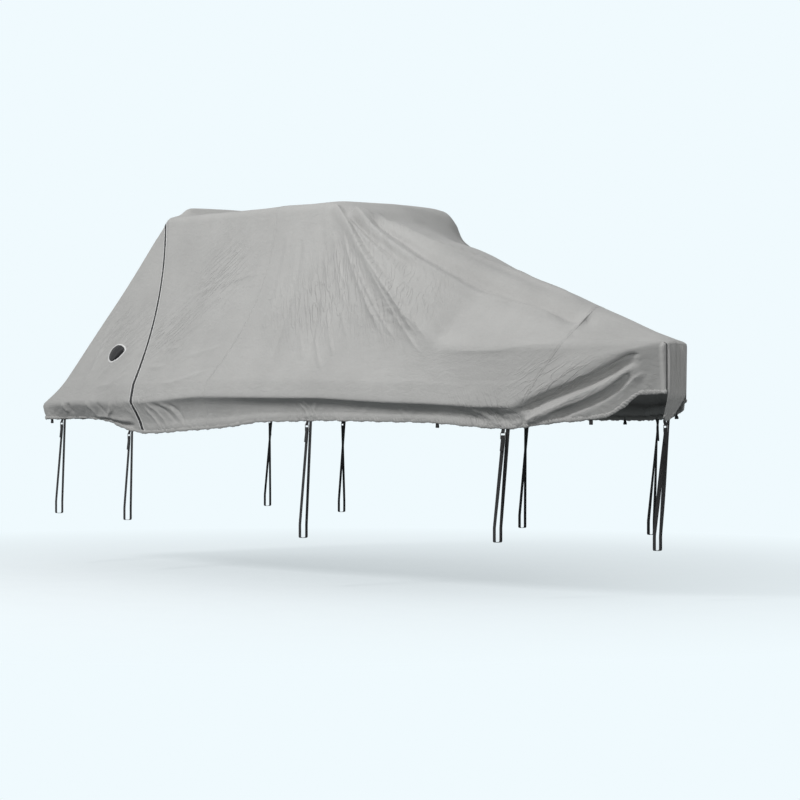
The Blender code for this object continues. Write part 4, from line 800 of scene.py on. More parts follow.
def gathers(points, lines, along):
    """The pull of the hem's elastic: nothing at the gunwale, most at the hem. lines has each point's line."""
    share = np.clip((lines - 4.0) / 1.0, 0.0, 1.0)
    x = points[..., 0]
    strength = 0.55 + 0.45 * smooth(x, *np.array(GATHER_ALONG).T)
    fine = waves(along, share * HEM_BAND, *FINE_GATHERS)
    broad = waves(along, share * HEM_BAND, *BROAD_GATHERS)
    return strength * (FINE_LIFT * fine * share**1.6 + BROAD_LIFT * broad * share * (1.25 - share))


def crumple(points, lines, side):
    """Small creases of the slack cloth, strongest below the windscreen's corner."""
    x, z = points[..., 0], points[..., 2]
    total = np.zeros(x.shape)
    for at_x, at_z, wide, high, lift, length, seed, on_side in CRUMPLES:
        if on_side not in (0, side):
            continue
        patch = np.exp(-(((x - at_x) / wide) ** 2) - ((z - at_z) / high) ** 2) * (lines > 1.05)
        ripple = waves(x * 0.75 + z * 0.66, x * 0.66 - z * 0.75, seed, 6, length, 2.4 * length, 0.9)
        total += lift * patch * ripple
    return total


# ---------------------------------------------------------------- the solids' grid, with its main folds
def fold_lift(points):
    """How far the main folds lift or sink each point."""
    lift = np.zeros(points.shape[:-1])
    for from_x, from_line, to_x, to_line, width, height in FOLDS:
        steps = np.linspace(0.0, 1.0, 9)
        places = [(from_x + (to_x - from_x) * t, from_line + (to_line - from_line) * t) for t in steps]
        route = np.array([at_place(*place) for place in places])
        nearest = np.full(lift.shape, 1e9)
        place = np.zeros(lift.shape)
        for i in range(len(route) - 1):
            a, b = route[i], route[i + 1]
            t = np.clip((points - a) @ (b - a) / np.dot(b - a, b - a), 0.0, 1.0)
            distance = np.linalg.norm(points - (a + t[..., None] * (b - a)), axis=-1)
            closer = distance < nearest
            nearest = np.where(closer, distance, nearest)
            place = np.where(closer, (i + t) / (len(route) - 1), place)
        ends = np.clip(np.minimum(place, 1 - place) / 0.18, 0.0, 1.0)
        lift += height * np.exp(-((nearest / (0.5 * width)) ** 2)) * np.sqrt(ends)
    return lift


def half_columns():
    """Places across one side, from the middle to the hem."""
    columns = [0.0]
    for line, cells in enumerate((CENTRE_CELLS, RIM_CELLS, SIDE_CELLS, KNEE_CELLS, HEM_CELLS)):
        columns += [line + part for part in cells]
    return columns


def across_columns():
    half = half_columns()
    return [-place for place in half[:0:-1]] + half


def station_rows():
    rows = [SPANS[0][0]]
    for start, end, cells in SPANS:
        rows += [start + (end - start) * (i + 1) / cells for i in range(cells)]
    return rows


def shared_normals(body, stern):
    """Normals of both grids, equal where the stern panel meets the aft panel."""
    of_body, of_stern = normals_of(body), normals_of(stern)
    columns = across_columns()
    first, last = columns.index(-2), columns.index(2)
    for mine, edge in (
        (of_body[0, : first + 1], of_stern[:, 0]),
        (of_body[0, first : last + 1], of_stern[-1]),
        (of_body[0, last:], of_stern[::-1, -1]),
    ):
        both = mine + edge
        both /= np.linalg.norm(both, axis=-1, keepdims=True)
        mine[:] = both
        edge[:] = both
    return of_body, of_stern


def coarse_grids():
    """The grids that the solids are cut from: body and stern, with their main folds and normals."""
    half = half_columns()
    stations = station_rows()
    port = section_points(stations, half[:0:-1], 1)
    body = np.concatenate([port, section_points(stations, half, -1)], axis=1)
    top = [place for place in across_columns() if abs(place) <= 2]
    downs = [place for place in half if place >= 2][::-1]
    stern = stern_points(top, downs)
    of_body, of_stern = shared_normals(body, stern)
    body = moved_by_folds(body, of_body)
    stern = moved_by_folds(stern, of_stern)
    return body, stern


def held_near(x, hold):
    """1 at the hold's x, down to 0 past its reach."""
    at, reach = hold
    return np.exp(-(((x - at) / reach) ** 2))


def still_places(points):
    """1 where the cloth may move, down to 0 along the roof's aft seam and the nose."""
    x, z = points[..., 0], points[..., 2]
    at_bar = held_near(x, STILL_BAR) * (z > ROOF_ABOVE)
    return (1 - at_bar) * (1 - held_near(x, STILL_NOSE))


def moved_by_folds(grid, outward):
    """The grid with its main folds, and with slow waves but beside the zips."""
    at_zip = held_near(grid[..., 0], STILL_ZIP) * (np.abs(grid[..., 1]) > FLANK_BEYOND)
    lift = (fold_lift(grid) + uneven(grid) * (1 - at_zip)) * still_places(grid)
    return grid + outward * lift[..., None]


# ---------------------------------------------------------------- making meshes
def clean_object(name, made, finish, smooth_faces=True):
    """A bmesh as an object at the origin, on the cover's one body."""
    mesh = bpy.data.meshes.new(name)
    made.to_mesh(mesh)
    made.free()
    item = bpy.data.objects.new(name, mesh)
    dressing.objects.link(item)
    mesh.materials.append(finish)
    mesh.polygons.foreach_set("use_smooth", [smooth_faces] * len(mesh.polygons))
    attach(item, "root")
    return item


def run_of(points, axis):
    """How far each point of a grid lies from its first row, or column, along the cloth."""
    run = np.linalg.norm(np.diff(points, axis=axis), axis=2).cumsum(axis)
    start = np.take(run, [0], axis) * 0.0
    return np.concatenate([start, run], axis=axis)


def cloth_grid(name, points, finish, facing=None, masks=None):
    """A smooth sheet through a grid of points, with the metric UV map that its weave follows."""
    rows, columns = points.shape[:2]
    made = bmesh.new()
    bmesh.ops.create_grid(made, x_segments=columns - 1, y_segments=rows - 1, size=0.5)
    spots = np.array([vert.co[:2] for vert in made.verts]) + 0.5
    places = np.rint(spots * (columns - 1, rows - 1)).astype(int)
    for vert, (j, i) in zip(made.verts, places):
        vert.co = points[i, j]
    made.normal_update()
    if facing is not None:  # the grid is turned over if most of the faces tried point the other way
        turned = 0.0
        for face in list(made.faces)[:: max(1, len(made.faces) // 200)]:
            j, i = places[face.verts[0].index]
            turned += np.sign(face.normal.dot(Vector(facing[i, j])))
        if turned < 0:
            bmesh.ops.reverse_faces(made, faces=made.faces)
    item = clean_object(name, made, finish)
    mesh = item.data
    along, across = run_of(points, 0), run_of(points, 1)
    across -= across[:, columns // 2][:, None]
    uv = np.stack([along[places[:, 1], places[:, 0]], across[places[:, 1], places[:, 0]]], axis=1)
    corner = np.empty(len(mesh.loops), np.int32)
    mesh.loops.foreach_get("vertex_index", corner)
    layer = mesh.uv_layers.new(name="Cloth")
    layer.data.foreach_set("uv", uv[corner].astype(np.float32).ravel())
    for mask, values in (masks or {}).items():
        held = mesh.attributes.new(mask, "FLOAT", "POINT")
        held.data.foreach_set("value", values[places[:, 1], places[:, 0]].astype(np.float32))
    return item


def sealed(item):
    """Merges a grid that was rolled up, closes its ends and turns its faces outwards."""
    made = bmesh.new()
    made.from_mesh(item.data)
    bmesh.ops.remove_doubles(made, verts=made.verts, dist=MERGED)
    bmesh.ops.holes_fill(made, edges=[edge for edge in made.edges if edge.is_boundary], sides=0)
    bmesh.ops.recalc_face_normals(made, faces=made.faces)
    made.to_mesh(item.data)
    made.free()
    item.data.polygons.foreach_set("use_smooth", [True] * len(item.data.polygons))
    return item


def thickened(item, thickness, offset=-1.0):
    """Gives a sheet its wall: inwards, or with offset 0 to both sides."""
    solid = item.modifiers.new("thickness", "SOLIDIFY")
    solid.thickness = thickness
    solid.offset = offset
    return item


def tube(name, path, across, outward, half_width, half_height, finish, around=8):
    """A closed cord or casing of oval section along a path; the half sizes may change along it."""
    angles = np.linspace(0.0, 2 * math.pi, around + 1)
    wide = (np.asarray(half_width) * np.ones(len(path)))[:, None, None]
    high = (np.asarray(half_height) * np.ones(len(path)))[:, None, None]
    ring = np.cos(angles)[None, :, None] * across[:, None] * wide
    ring = ring + np.sin(angles)[None, :, None] * outward[:, None] * high
    return sealed(cloth_grid(name, path[:, None] + ring, finish))


def unit(v):
    return v / np.maximum(length_of(v), 1e-12)


def even_path(path, spacing):
    """The path, and any directions in its later columns, resampled at an even spacing."""
    run = np.concatenate([[0.0], np.linalg.norm(np.diff(path[:, :3], axis=0), axis=1).cumsum()])
    places = np.linspace(0.0, run[-1], max(2, int(run[-1] / spacing)))
    return np.stack([np.interp(places, run, path[:, k]) for k in range(path.shape[1])], axis=1)


# ---------------------------------------------------------------- cloth panels
def spaced(cells):
    """Places across one side: cells gives how many there are in each stretch between two lines."""
    places = [0.0]
    for line, count in enumerate(cells):
        places += [line + (i + 1) / count for i in range(count)]
    return places


def fine_body(start, spans, starboard, port):
    """One panel of the body as a fine grid, with the line and the side of each of its columns."""
    stations = [start]
    for end, count in spans:
        stations += list(np.linspace(stations[-1], end, count + 1)[1:])
    here, there = spaced(starboard), spaced(port)
    grid = np.concatenate(
        [section_points(stations, there[:0:-1], 1), section_points(stations, here, -1)], axis=1
    )
    lines = np.array(there[:0:-1] + here)
    sides = np.array([1] * (len(there) - 1) + [-1] * len(here))
    return grid, lines, sides


def dress(grid, lines, sides, creases, on_stern):
    """Moves a grid by the main folds, then by creases, crumples and the gathers of the hem."""
    outward = normals_of(grid)
    grid = moved_by_folds(grid, outward)
    outward = normals_of(grid)
    lines = np.broadcast_to(lines, grid.shape[:2])
    lift = crease_lift(grid, outward, creases, on_stern)
    for side in (-1, 1):
        lift = lift + np.where(sides == side, crumple(grid, lines, side), 0.0)
    along = run_of(grid, 1)[:1] if on_stern else run_of(grid, 0)[:, -1:]
    lift = lift + gathers(grid, lines, np.broadcast_to(along, grid.shape[:2]))
    lift = lift * still_places(grid) * inside_edges(grid) + tucked(lines, grid[..., 0])
    grid = grid + outward * lift[..., None]
    return grid, normals_of(grid), lines


def inside_edges(grid):
    """0 at a panel's first and last rows, up to 1 a few centimetres in, so that panels meet."""
    run = run_of(grid, 0)
    near = np.minimum(run, run[-1] - run)
    share = np.clip(near / EDGE_EASE, 0.0, 1.0)
    return share * share * (3 - 2 * share)


def turned_in(grid, lines, sides):
    """The bow panel with its front edge turned in beside the nose's curtain."""
    edge = grid[-1]
    share = np.clip(np.abs(lines[0]) - 2.0, 0.0, 1.0)[:, None]
    goal = np.array([NOSE_RETURN[0 if side < 0 else 1] for side in sides])
    rows = []
    for t in np.linspace(0.0, 1.0, RETURN_ROWS + 1)[1:]:
        turn = edge.copy()
        turn[:, 0] = edge[:, 0] * (1 - t) ** 2 + goal[:, 0] * (1 - (1 - t) ** 2)
        turn[:, 1] = edge[:, 1] * (1 - t**2) + goal[:, 1] * t**2
        rows.append(edge + (turn - edge) * share + np.array([1e-5 * t, 0.0, 0.0]))
    grid = np.concatenate([grid, np.array(rows)])
    lines = np.broadcast_to(lines[0], grid.shape[:2])
    return grid, normals_of(grid), lines


def tucked(lines, x):
    """How far the cloth below the gunwale is drawn in under it, before it comes out again at the hem."""
    share = np.clip(np.abs(lines) - 4.0, 0.0, 1.0)
    let_go = np.clip((TUCK_FOOT - share) / TUCK_EASE, 0.0, 1.0)
    return -TUCK * np.sin(math.pi * share**TUCK_LEAN) * let_go * smooth(x, *np.array(TUCK_ENDS).T)


def panel(name, node, grid, outward, lines, size, area):
    """One cloth panel in place of its solid, with masks for where it is gathered, slack or pulled."""
    masks = {
        "hem": np.clip(lines - 4.0, 0.0, 1.0) + 0 * grid[..., 0],
        "slack": patch_mask(grid, [(x, z, 1.3 * wide, 1.3 * high) for x, z, wide, high, *_ in CRUMPLES]),
        "steep": patch_mask(grid, STEEP_PULLS),
        "rising": patch_mask(grid, RISING_PULLS),
    }
    item = cloth_grid(name, grid, finishes["cloth"], outward, masks)
    thickened(item, CLOTH_SHOWN)
    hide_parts(node)
    sheets.append((item, size, area))


def patch_mask(points, patches):
    """1 in the middle of each patch (x, z, half-length, half-height), down to 0 outside them."""
    x, z = points[..., 0], points[..., 2]
    total = 0.0
    for at_x, at_z, wide, high in patches:
        total = total + np.exp(-(((x - at_x) / wide) ** 2) - ((z - at_z) / high) ** 2)
    return np.clip(total, 0.0, 1.0)


def hem_casing(name, edge, outward, finish, seed):
    """The ruched casing that holds the hem's elastic, along the lower edge of one panel."""
    joined = even_path(np.concatenate([edge, outward], axis=1), HEM_STEP)
    path, outward = joined[:, :3], unit(joined[:, 3:] * (1, 1, 0))
    step = unit(np.gradient(path, axis=0))
    upward = unit(np.cross(outward, step))
    upward *= np.sign(upward[:, 2:])
    run = np.arange(len(path)) * HEM_STEP
    drift = np.cumsum(np.random.default_rng(seed).normal(0.0, RUCHE_DRIFT, len(run)))
    phase = 2 * math.pi * run / RUCHE_PITCH + drift
    swell = 1.0 + sum(share * np.sin(2 * math.pi * run / length + start) for share, length, start in SWELLS)
    rows = []
    for angle in np.linspace(0.0, 2 * math.pi, HEM_AROUND + 1):
        ruche = 0.5 + 0.5 * np.sin(phase + RUCHE_SLANT * math.sin(angle))
        high = HEM_HALF_HEIGHT * swell * (RUCHE_HIGH[0] + RUCHE_HIGH[1] * ruche)
        wide = HEM_HALF_WIDTH * swell * (RUCHE_WIDE[0] + RUCHE_WIDE[1] * ruche)
        spot = path + upward * (math.sin(angle) * high + HEM_HALF_HEIGHT * HEM_RISE)[:, None]
        rows.append(spot + outward * (math.cos(angle) * wide)[:, None])
    return sealed(cloth_grid(name, np.stack(rows, axis=1), finish))


def along_edge(edge, outward, across, spacing):
    """An edge at an even spacing, with its directions up from the cloth and across the edge."""
    joined = even_path(np.concatenate([edge, outward, across], axis=1), spacing)
    return joined[:, :3], unit(joined[:, 3:6]), unit(joined[:, 6:])


def lap_seam(name, edge, outward, across):
    """A felled seam: a strip a little proud of the cloth along its joint, with two rows of stitches."""
    path, up, aside = along_edge(edge, outward, across, SEAM_STEP)
    rows = [path + aside * (SEAM_WIDTH / 2 * a) + up * (SEAM_HEIGHT * h - SEAM_SUNK) for a, h in SEAM_SECTION]
    facing = np.repeat(up[:, None], len(rows), axis=1)
    strip = cloth_grid(name, np.stack(rows, axis=1), finishes["cloth"], facing)
    return [strip, stitching(name, edge, outward, across)]


def stitching(name, edge, outward, across):
    """Two rows of stitches on a seam, each stitch a short bar of thread."""
    made = bmesh.new()
    path, up, aside = along_edge(edge, outward, across, SEAM_STEP)
    path, up, aside = along_edge(path, up, aside, STITCH_PITCH)
    step = unit(np.gradient(path, axis=0))
    size = Matrix.Diagonal((STITCH_LENGTH, STITCH_WIDTH, STITCH_HEIGHT, 1.0))
    for share in STITCH_ROWS:
        for spot, along, rise, out in zip(path, step, up, aside):
            middle = spot + out * (SEAM_WIDTH / 2 * share) + rise * (SEAM_HEIGHT * STITCH_LIFT)
            turned = Matrix((along, out, rise)).transposed().to_4x4()
            bmesh.ops.create_cube(made, size=1.0, matrix=Matrix.Translation(middle) @ turned @ size)
    stitches = clean_object(name + "_stitches", made, finishes["thread"], False)
    return stitches


# ---------------------------------------------------------------- zips and vents
def zip_piece(side_name, edge, outward, across):
    """Dark tape with a coil down its middle, between two pale welts."""
    path, up, aside = along_edge(edge, outward, across, ZIP_STEP)
    rows = [path + aside * (ZIP_SHOWN / 2 * a) + up * (ZIP_TAPE * h + LAP) for a, h in ZIP_SECTION]
    facing = np.repeat(up[:, None], len(rows), axis=1)
    tape = cloth_grid(f"zip_{side_name}_tape", np.stack(rows, axis=1), finishes["zip"], facing)
    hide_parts("zip_" + side_name)
    for share, word in ((-1.0, "aft"), (1.0, "fore")):
        line = path + aside * (share * (ZIP_SHOWN / 2 + WELT_GAP)) + up * WELT_RISE
        name = f"zip_{side_name}_welt_{word}"
        cord = tube(name, line, aside, up, WELT_HALF_WIDTH, WELT_HALF_HEIGHT, finishes["welt"])
    path, up, aside = along_edge(path, up, aside, COIL_STEP)
    tooth = 0.5 + 0.5 * np.cos(np.arange(len(path)) * 2 * math.pi / COIL_RINGS)
    wide = COIL_HALF_WIDTH[0] + COIL_HALF_WIDTH[1] * tooth
    high = COIL_HALF_HEIGHT[0] + COIL_HALF_HEIGHT[1] * tooth
    line = path + up * (ZIP_TAPE + LAP)
    coil = tube(f"zip_{side_name}_coil", line, aside, up, wide, high, finishes["coil"], 6)


def vent_piece(side_name, side, tree):
    """A moulded teardrop dome in a pale sewn-on ring."""
    start = Vector((VENT_X, side * 3.0, VENT_Z))
    centre, normal, _, _ = tree.ray_cast(start, Vector((0.0, -side, 0.0)))
    long_axis = Vector(VENT_POINTS_TO)
    long_axis = (long_axis - normal * long_axis.dot(normal)).normalized()
    short_axis = normal.cross(long_axis).normalized()

    def ring(share, rise):
        points = []
        for turn in np.linspace(0.0, 2 * math.pi, VENT_POINTS + 1):
            taper = 1 - VENT_TAPER * (0.5 + 0.5 * math.cos(turn)) ** 2
            along = 0.5 * VENT_LENGTH * math.cos(turn) * share
            aside = 0.5 * VENT_WIDTH * math.sin(turn) * taper * share
            foot = tree.ray_cast(centre + long_axis * along + short_axis * aside + normal * 0.2, -normal)[0]
            points.append(foot + normal * rise)
        return np.array([tuple(p) for p in points])

    dome = [ring(share, rise) for share, rise in VENT_DOME]
    body = sealed(cloth_grid(f"vent_{side_name}_dome", np.stack(dome), finishes["plastic"]))
    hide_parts("vent_" + side_name)
    rim = [ring(share, rise) for share, rise in VENT_RING]
    pale = sealed(cloth_grid(f"vent_{side_name}_ring", np.stack(rim), finishes["welt"]))


# ---------------------------------------------------------------- webbing
def webbing(node, path, along, width, spacing):
    """Flat webbing along a path, in place of its solid; its edges curl a little."""
    joined = even_path(np.concatenate([path, along], axis=1), spacing)
    path, along = joined[:, :3], joined[:, 3:]
    step = unit(np.gradient(path, axis=0))
    across = unit(along - step * np.sum(step * along, axis=1, keepdims=True))
    normal = np.cross(step, across)
    rows = [path + across * (width / 2 * a) - normal * (WEBBING_CURL * a * a) for a in WEBBING_ACROSS]
    facing = np.repeat(normal[:, None], len(rows), axis=1)
    item = cloth_grid(node + "_webbing", np.stack(rows, axis=1), finishes["webbing"], facing)
    thickened(item, WEBBING, 0.0)
    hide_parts(node)


# ---------------------------------------------------------------- where the webbing is sewn
def hem_frame(x, side, body, stern):
    """Where the hem is at x, and the directions along it and outward."""
    for edge in (body[:, -1 if side < 0 else 0], stern[0]):
        for a, b in zip(edge, edge[1:]):
            if (a[0] - x) * (b[0] - x) <= 0 and a[1] * side > 0.3 and abs(b[0] - a[0]) > 1e-6:
                along = (b - a) * np.array([1.0, 1.0, 0.0])
                along *= np.sign(along[0]) / np.linalg.norm(along)
                outward = np.array([-along[1], along[0], 0.0]) * side
                return a + (b - a) * (x - a[0]) / (b[0] - a[0]), along, outward
    raise ValueError("no hem at that x")


def inner_face(hem, along, outward, width, height):
    """How far outward of the hem line the cloth's inner face lies at a height, over the webbing's width."""
    behind = 0.08
    hits = []
    for share in np.linspace(-0.52, 0.52, 15):
        start = hem + along * width * share - outward * behind + np.array([0.0, 0.0, height])
        hits += [tree.ray_cast(Vector(start), Vector(outward), 2 * behind)[3] for tree in panel_trees]
    hits = [far for far in hits if far is not None]
    return min(hits) - behind if hits else None


def sewn_line(hem, along, outward, width):
    """The webbing's middle inside the cloth, at the top of its seam and just below the hem."""
    heights = np.arange(-0.006, HEM_GRIP, 0.001)
    faces = [(h, inner_face(hem, along, outward, width, h)) for h in heights]
    faces = [(h, face) for h, face in faces if face is not None]
    upper = min(face for h, face in faces if h > HEM_GRIP / 2)
    lower = min(face for h, face in faces if h < HEM_GRIP / 2)
    slope = (upper - lower) / (HEM_GRIP + SEAM_DROP)
    excess = max(lower + slope * (h + SEAM_DROP) - face for h, face in faces)
    inwards = excess + (SEWN + WEBBING / 2) * math.hypot(1.0, slope)
    return [
        hem + outward * (upper - inwards) + np.array([0.0, 0.0, HEM_GRIP]),
        hem + outward * (lower - inwards) - np.array([0.0, 0.0, SEAM_DROP]),
    ]


def rounded(corners, bends):
    """A path through the corners. Each inner one has its bend: how far it reaches, in how many straights."""
    path = [corners[0]]
    for before, here, after, (reach, cells) in zip(corners, corners[1:], corners[2:], bends):
        back, on = before - here, after - here
        start = here + back / np.linalg.norm(back) * reach
        end = here + on / np.linalg.norm(on) * reach
        for i in range(cells + 1):
            t = i / cells
            path.append(start * (1 - t) ** 2 + here * 2 * t * (1 - t) + end * t**2)
    return np.array(path + [corners[-1]])


def turned_to(path, along, towards, start, end):
    """A row for each point of the path: along above the height start, towards below the height end."""
    share = np.clip((start - path[:, 2]) / (start - end), 0.0, 1.0)[:, None]
    return along * (1 - share) + towards * share


def search_tree(item):
    """A search tree over an object's mesh."""
    mesh = item.data
    points = [vert.co.copy() for vert in mesh.vertices]
    return BVHTree.FromPolygons(points, [tuple(face.vertices) for face in mesh.polygons])


def hanging_loop(name, hem, along, outward, bottom, gap, lean=0.0, towards=None):
    """A webbing loop sewn inside the hem, on the same route as its solid. It gives its middle at the hem."""
    top, seam = sewn_line(hem, along, outward, LOOP_WIDTH)
    across = outward * LEGS
    middle = seam - across / 2
    shoulder = middle + outward * lean - np.array([0.0, 0.0, bottom * SHOULDER_DROP])
    foot = middle + outward * lean - np.array([0.0, 0.0, bottom])
    towards = along if towards is None else towards
    apart = np.cross(towards, (0.0, 0.0, 1.0))
    apart *= np.sign(apart @ outward) * gap / 2
    outer = [top, seam, shoulder + apart, foot + apart]
    inner = [foot - apart, shoulder - apart, seam - across, top - across]
    tight, slight = (0.3 * gap, 6), (0.003, 4)
    path = rounded(outer + inner, (slight, slight, tight, tight, slight, slight))
    facing = turned_to(path, along, towards, seam[2] - 0.003, seam[2] - 0.5 * bottom)
    webbing(name, path, facing, LOOP_WIDTH, LOOP_STEP)
    return middle


def strap(name, hem, along, outward, side, slant, foot):
    """One tie-down on its solid's route: from the hem, round its empty space and up into its buckle."""
    half = WEBBING / 2
    bar_gap = BUCKLE_PLATE + 2 * (CLEAR + half)
    loop_bottom = BUCKLE_DROP - BUCKLE_HEIGHT / 2 + BUCKLE_RAIL + CLEAR + half
    place = hem + along * BUCKLE_SHIFT
    seam = hanging_loop(name + "_buckle_loop", place, along, outward, loop_bottom, bar_gap, LEAN)
    middle = seam + outward * LEAN - np.array([0.0, 0.0, BUCKLE_DROP])
    buckle(name + "_buckle")

    gap = hem - np.array([slant, 0.0, 0.0])
    gap[2] = foot
    aside = np.array([0.0, side, 0.0])
    gap += aside * GAP_OUT
    reach = aside * (GAP_WIDTH / 2 + CLEAR + half)
    high = np.array([0.0, 0.0, 1.0])
    deep = high * (GAP_HEIGHT / 2 + CLEAR + half)
    top, start = sewn_line(hem + along * STRAP_SHIFT, along, outward, WEBBING_WIDTH)
    behind, ahead = middle - outward * bar_gap / 2, middle + outward * bar_gap / 2
    over_bar = BUCKLE_BAR / 2 + CLEAR + half
    below = -BUCKLE_HEIGHT / 2
    inboard, outboard = gap - reach, gap + reach
    under_buckle = behind + high * (below - 0.012)
    going_down = [top, start, start * (1 - STRAP_SOFT) + (inboard + deep) * STRAP_SOFT]
    round_gap = [inboard + deep, inboard - deep, outboard - deep, outboard + deep]
    at_buckle = [
        under_buckle * (1 - STRAP_SOFT) + (outboard + deep) * STRAP_SOFT,
        under_buckle,
        behind + high * over_bar,
        ahead + high * over_bar,
        ahead + high * (below - 0.004),
        ahead + high * (below - TAIL) + (outward - along) * TAIL_OUT,
    ]
    at_hem, slight, at_gap, at_bar = (0.002, 3), (0.010, 4), (0.012, 8), (0.0022, 6)
    bends = (at_hem, slight, at_gap, at_gap, at_gap, at_gap, slight, slight, at_bar, at_bar, slight)
    path = rounded(going_down + round_gap + at_buckle, bends)
    facing = turned_to(path, along, np.array([1.0, 0.0, 0.0]), middle[2] - 0.20, foot + 0.25)
    webbing(name, path, facing, WEBBING_WIDTH, STRAP_STEP)


def buckle(name):
    """The flat ladder buckle: a rounded frame with a bar across it, all of soft-edged plate."""
    made = bmesh.new()
    made.from_mesh(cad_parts[name].data)
    bmesh.ops.remove_doubles(made, verts=made.verts, dist=MERGED)
    bmesh.ops.dissolve_limit(made, angle_limit=math.radians(1.0), verts=made.verts, edges=made.edges)
    sharp = [edge for edge in made.edges if edge.calc_face_angle(0.0) > math.radians(30)]
    bmesh.ops.bevel(
        made, geom=sharp, offset=BUCKLE_EDGE, segments=3, profile=0.5, affect="EDGES", material=-1
    )
    item = clean_object(name + "_plate", made, finishes["steel"])
    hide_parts(name)


# ---------------------------------------------------------------- materials
def linked(tree, source, target):
    tree.links.new(source, target)


def made_node(tree, kind, inputs=(), **settings):
    """A node with its settings, and its inputs set to values or linked to sockets."""
    item = tree.nodes.new("ShaderNode" + kind)
    for name, value in settings.items():
        setattr(item, name, value)
    for name, value in dict(inputs).items():
        if isinstance(value, bpy.types.NodeSocket):
            tree.links.new(value, item.inputs[name])
        else:
            item.inputs[name].default_value = value
    return item


def effect(name, outputs):
    """A node group with no inputs: it puts out values that change over the surface."""
    group = bpy.data.node_groups.new(name, "ShaderNodeTree")
    for word in outputs:
        group.interface.new_socket(word, in_out="OUTPUT", socket_type="NodeSocketFloat")
    return group, group.nodes.new("NodeGroupOutput")


def remapped(tree, value, low, high, to_low, to_high):
    node = made_node(
        tree,
        "MapRange",
        {"Value": value, "From Min": low, "From Max": high, "To Min": to_low, "To Max": to_high},
    )
    return node.outputs["Result"]


def maths(tree, operation, first, second=0.0):
    return made_node(tree, "Math", {0: first, 1: second}, operation=operation).outputs[0]


def noise(tree, place, scale, detail=3.0, roughness=0.55, distortion=0.0):
    node = made_node(
        tree,
        "TexNoise",
        {"Vector": place, "Scale": scale, "Detail": detail, "Roughness": roughness, "Distortion": distortion},
    )
    return node.outputs["Fac"]


def object_place(tree):
    return tree.nodes.new("ShaderNodeTexCoord").outputs["Object"]


def cloth_place(tree):
    """The cloth's own metres, along and across it."""
    node = tree.nodes.new("ShaderNodeUVMap")
    node.uv_map = "Cloth"
    return node.outputs["UV"]


def canvas_weave(pitch):
    """Plain weave: threads that cross over and under at the given pitch, with slubs."""
    group, out = effect("canvas weave", ("Height",))
    place = cloth_place(group)
    slub = noise(group, place, 90.0, 2.0)
    parts = made_node(group, "SeparateXYZ", {"Vector": place}).outputs
    turns = 2 * math.pi / pitch
    warp = maths(group, "SINE", maths(group, "MULTIPLY", parts["X"], turns))
    weft = maths(group, "SINE", maths(group, "MULTIPLY", parts["Y"], turns))
    over = maths(group, "MULTIPLY", warp, weft)
    height = maths(group, "MULTIPLY_ADD", over, 0.5)
    height.node.inputs[2].default_value = 0.5
    slubs = remapped(group, slub, 0.3, 0.7, 0.7, 1.1)
    linked(group, maths(group, "MULTIPLY", height, slubs), out.inputs["Height"])
    return group


def crinkle():
    """Small soft wrinkles all over, more of them where the cloth is slack or gathered at the hem."""
    group, out = effect("crinkle", ("Height",))
    place = object_place(group)
    slack = made_node(group, "Attribute", attribute_name="slack").outputs["Fac"]
    hem = made_node(group, "Attribute", attribute_name="hem").outputs["Fac"]
    loose = maths(group, "MINIMUM", maths(group, "ADD", slack, maths(group, "MULTIPLY", hem, 0.7)), 1.0)
    drawn_in = {"Vector": place, "Rotation": (0.5, 0.7, 0.3), "Scale": (1.0, 1.0, 2.2)}
    leaning = made_node(group, "Mapping", drawn_in)
    broad = noise(group, leaning.outputs["Vector"], 9.0, 4.0, 0.55, 0.6)
    fine = noise(group, leaning.outputs["Vector"], 38.0, 3.0, 0.6, 0.9)
    ridged = maths(group, "ABSOLUTE", maths(group, "SUBTRACT", fine, 0.5))
    strength = remapped(group, loose, 0.0, 1.0, 0.35, 1.0)
    total = maths(group, "ADD", broad, maths(group, "MULTIPLY", ridged, strength))
    linked(group, total, out.inputs["Height"])
    return group


def streaks(tree, place, tilt, length, width):
    """Thin sharp ridges that run at a tilt in the boat's side view."""
    turned = made_node(
        tree,
        "Mapping",
        {"Vector": place, "Rotation": (0.0, math.radians(tilt), 0.0), "Scale": (length, 4 * width, width)},
        vector_type="TEXTURE",
    )
    ridged = noise(tree, turned.outputs["Vector"], 1.0, 2.0, 0.45, 0.25)
    line = remapped(tree, maths(tree, "ABSOLUTE", maths(tree, "SUBTRACT", ridged, 0.5)), 0.0, 0.07, 1.0, 0.0)
    return maths(tree, "POWER", line, 1.6)


def pulls():
    """Fine pulls in the taut cloth, where the masks put them: steep ones, and ones that rise forward."""
    group, out = effect("pulls", ("Height",))
    place = object_place(group)
    total = None
    for mask, tilt in (("steep", 62.0), ("rising", -38.0)):
        share = made_node(group, "Attribute", attribute_name=mask).outputs["Fac"]
        part = maths(group, "MULTIPLY", streaks(group, place, tilt, PULL_LENGTH, PULL_WIDTH), share)
        total = part if total is None else maths(group, "ADD", total, part)
    linked(group, total, out.inputs["Height"])
    return group


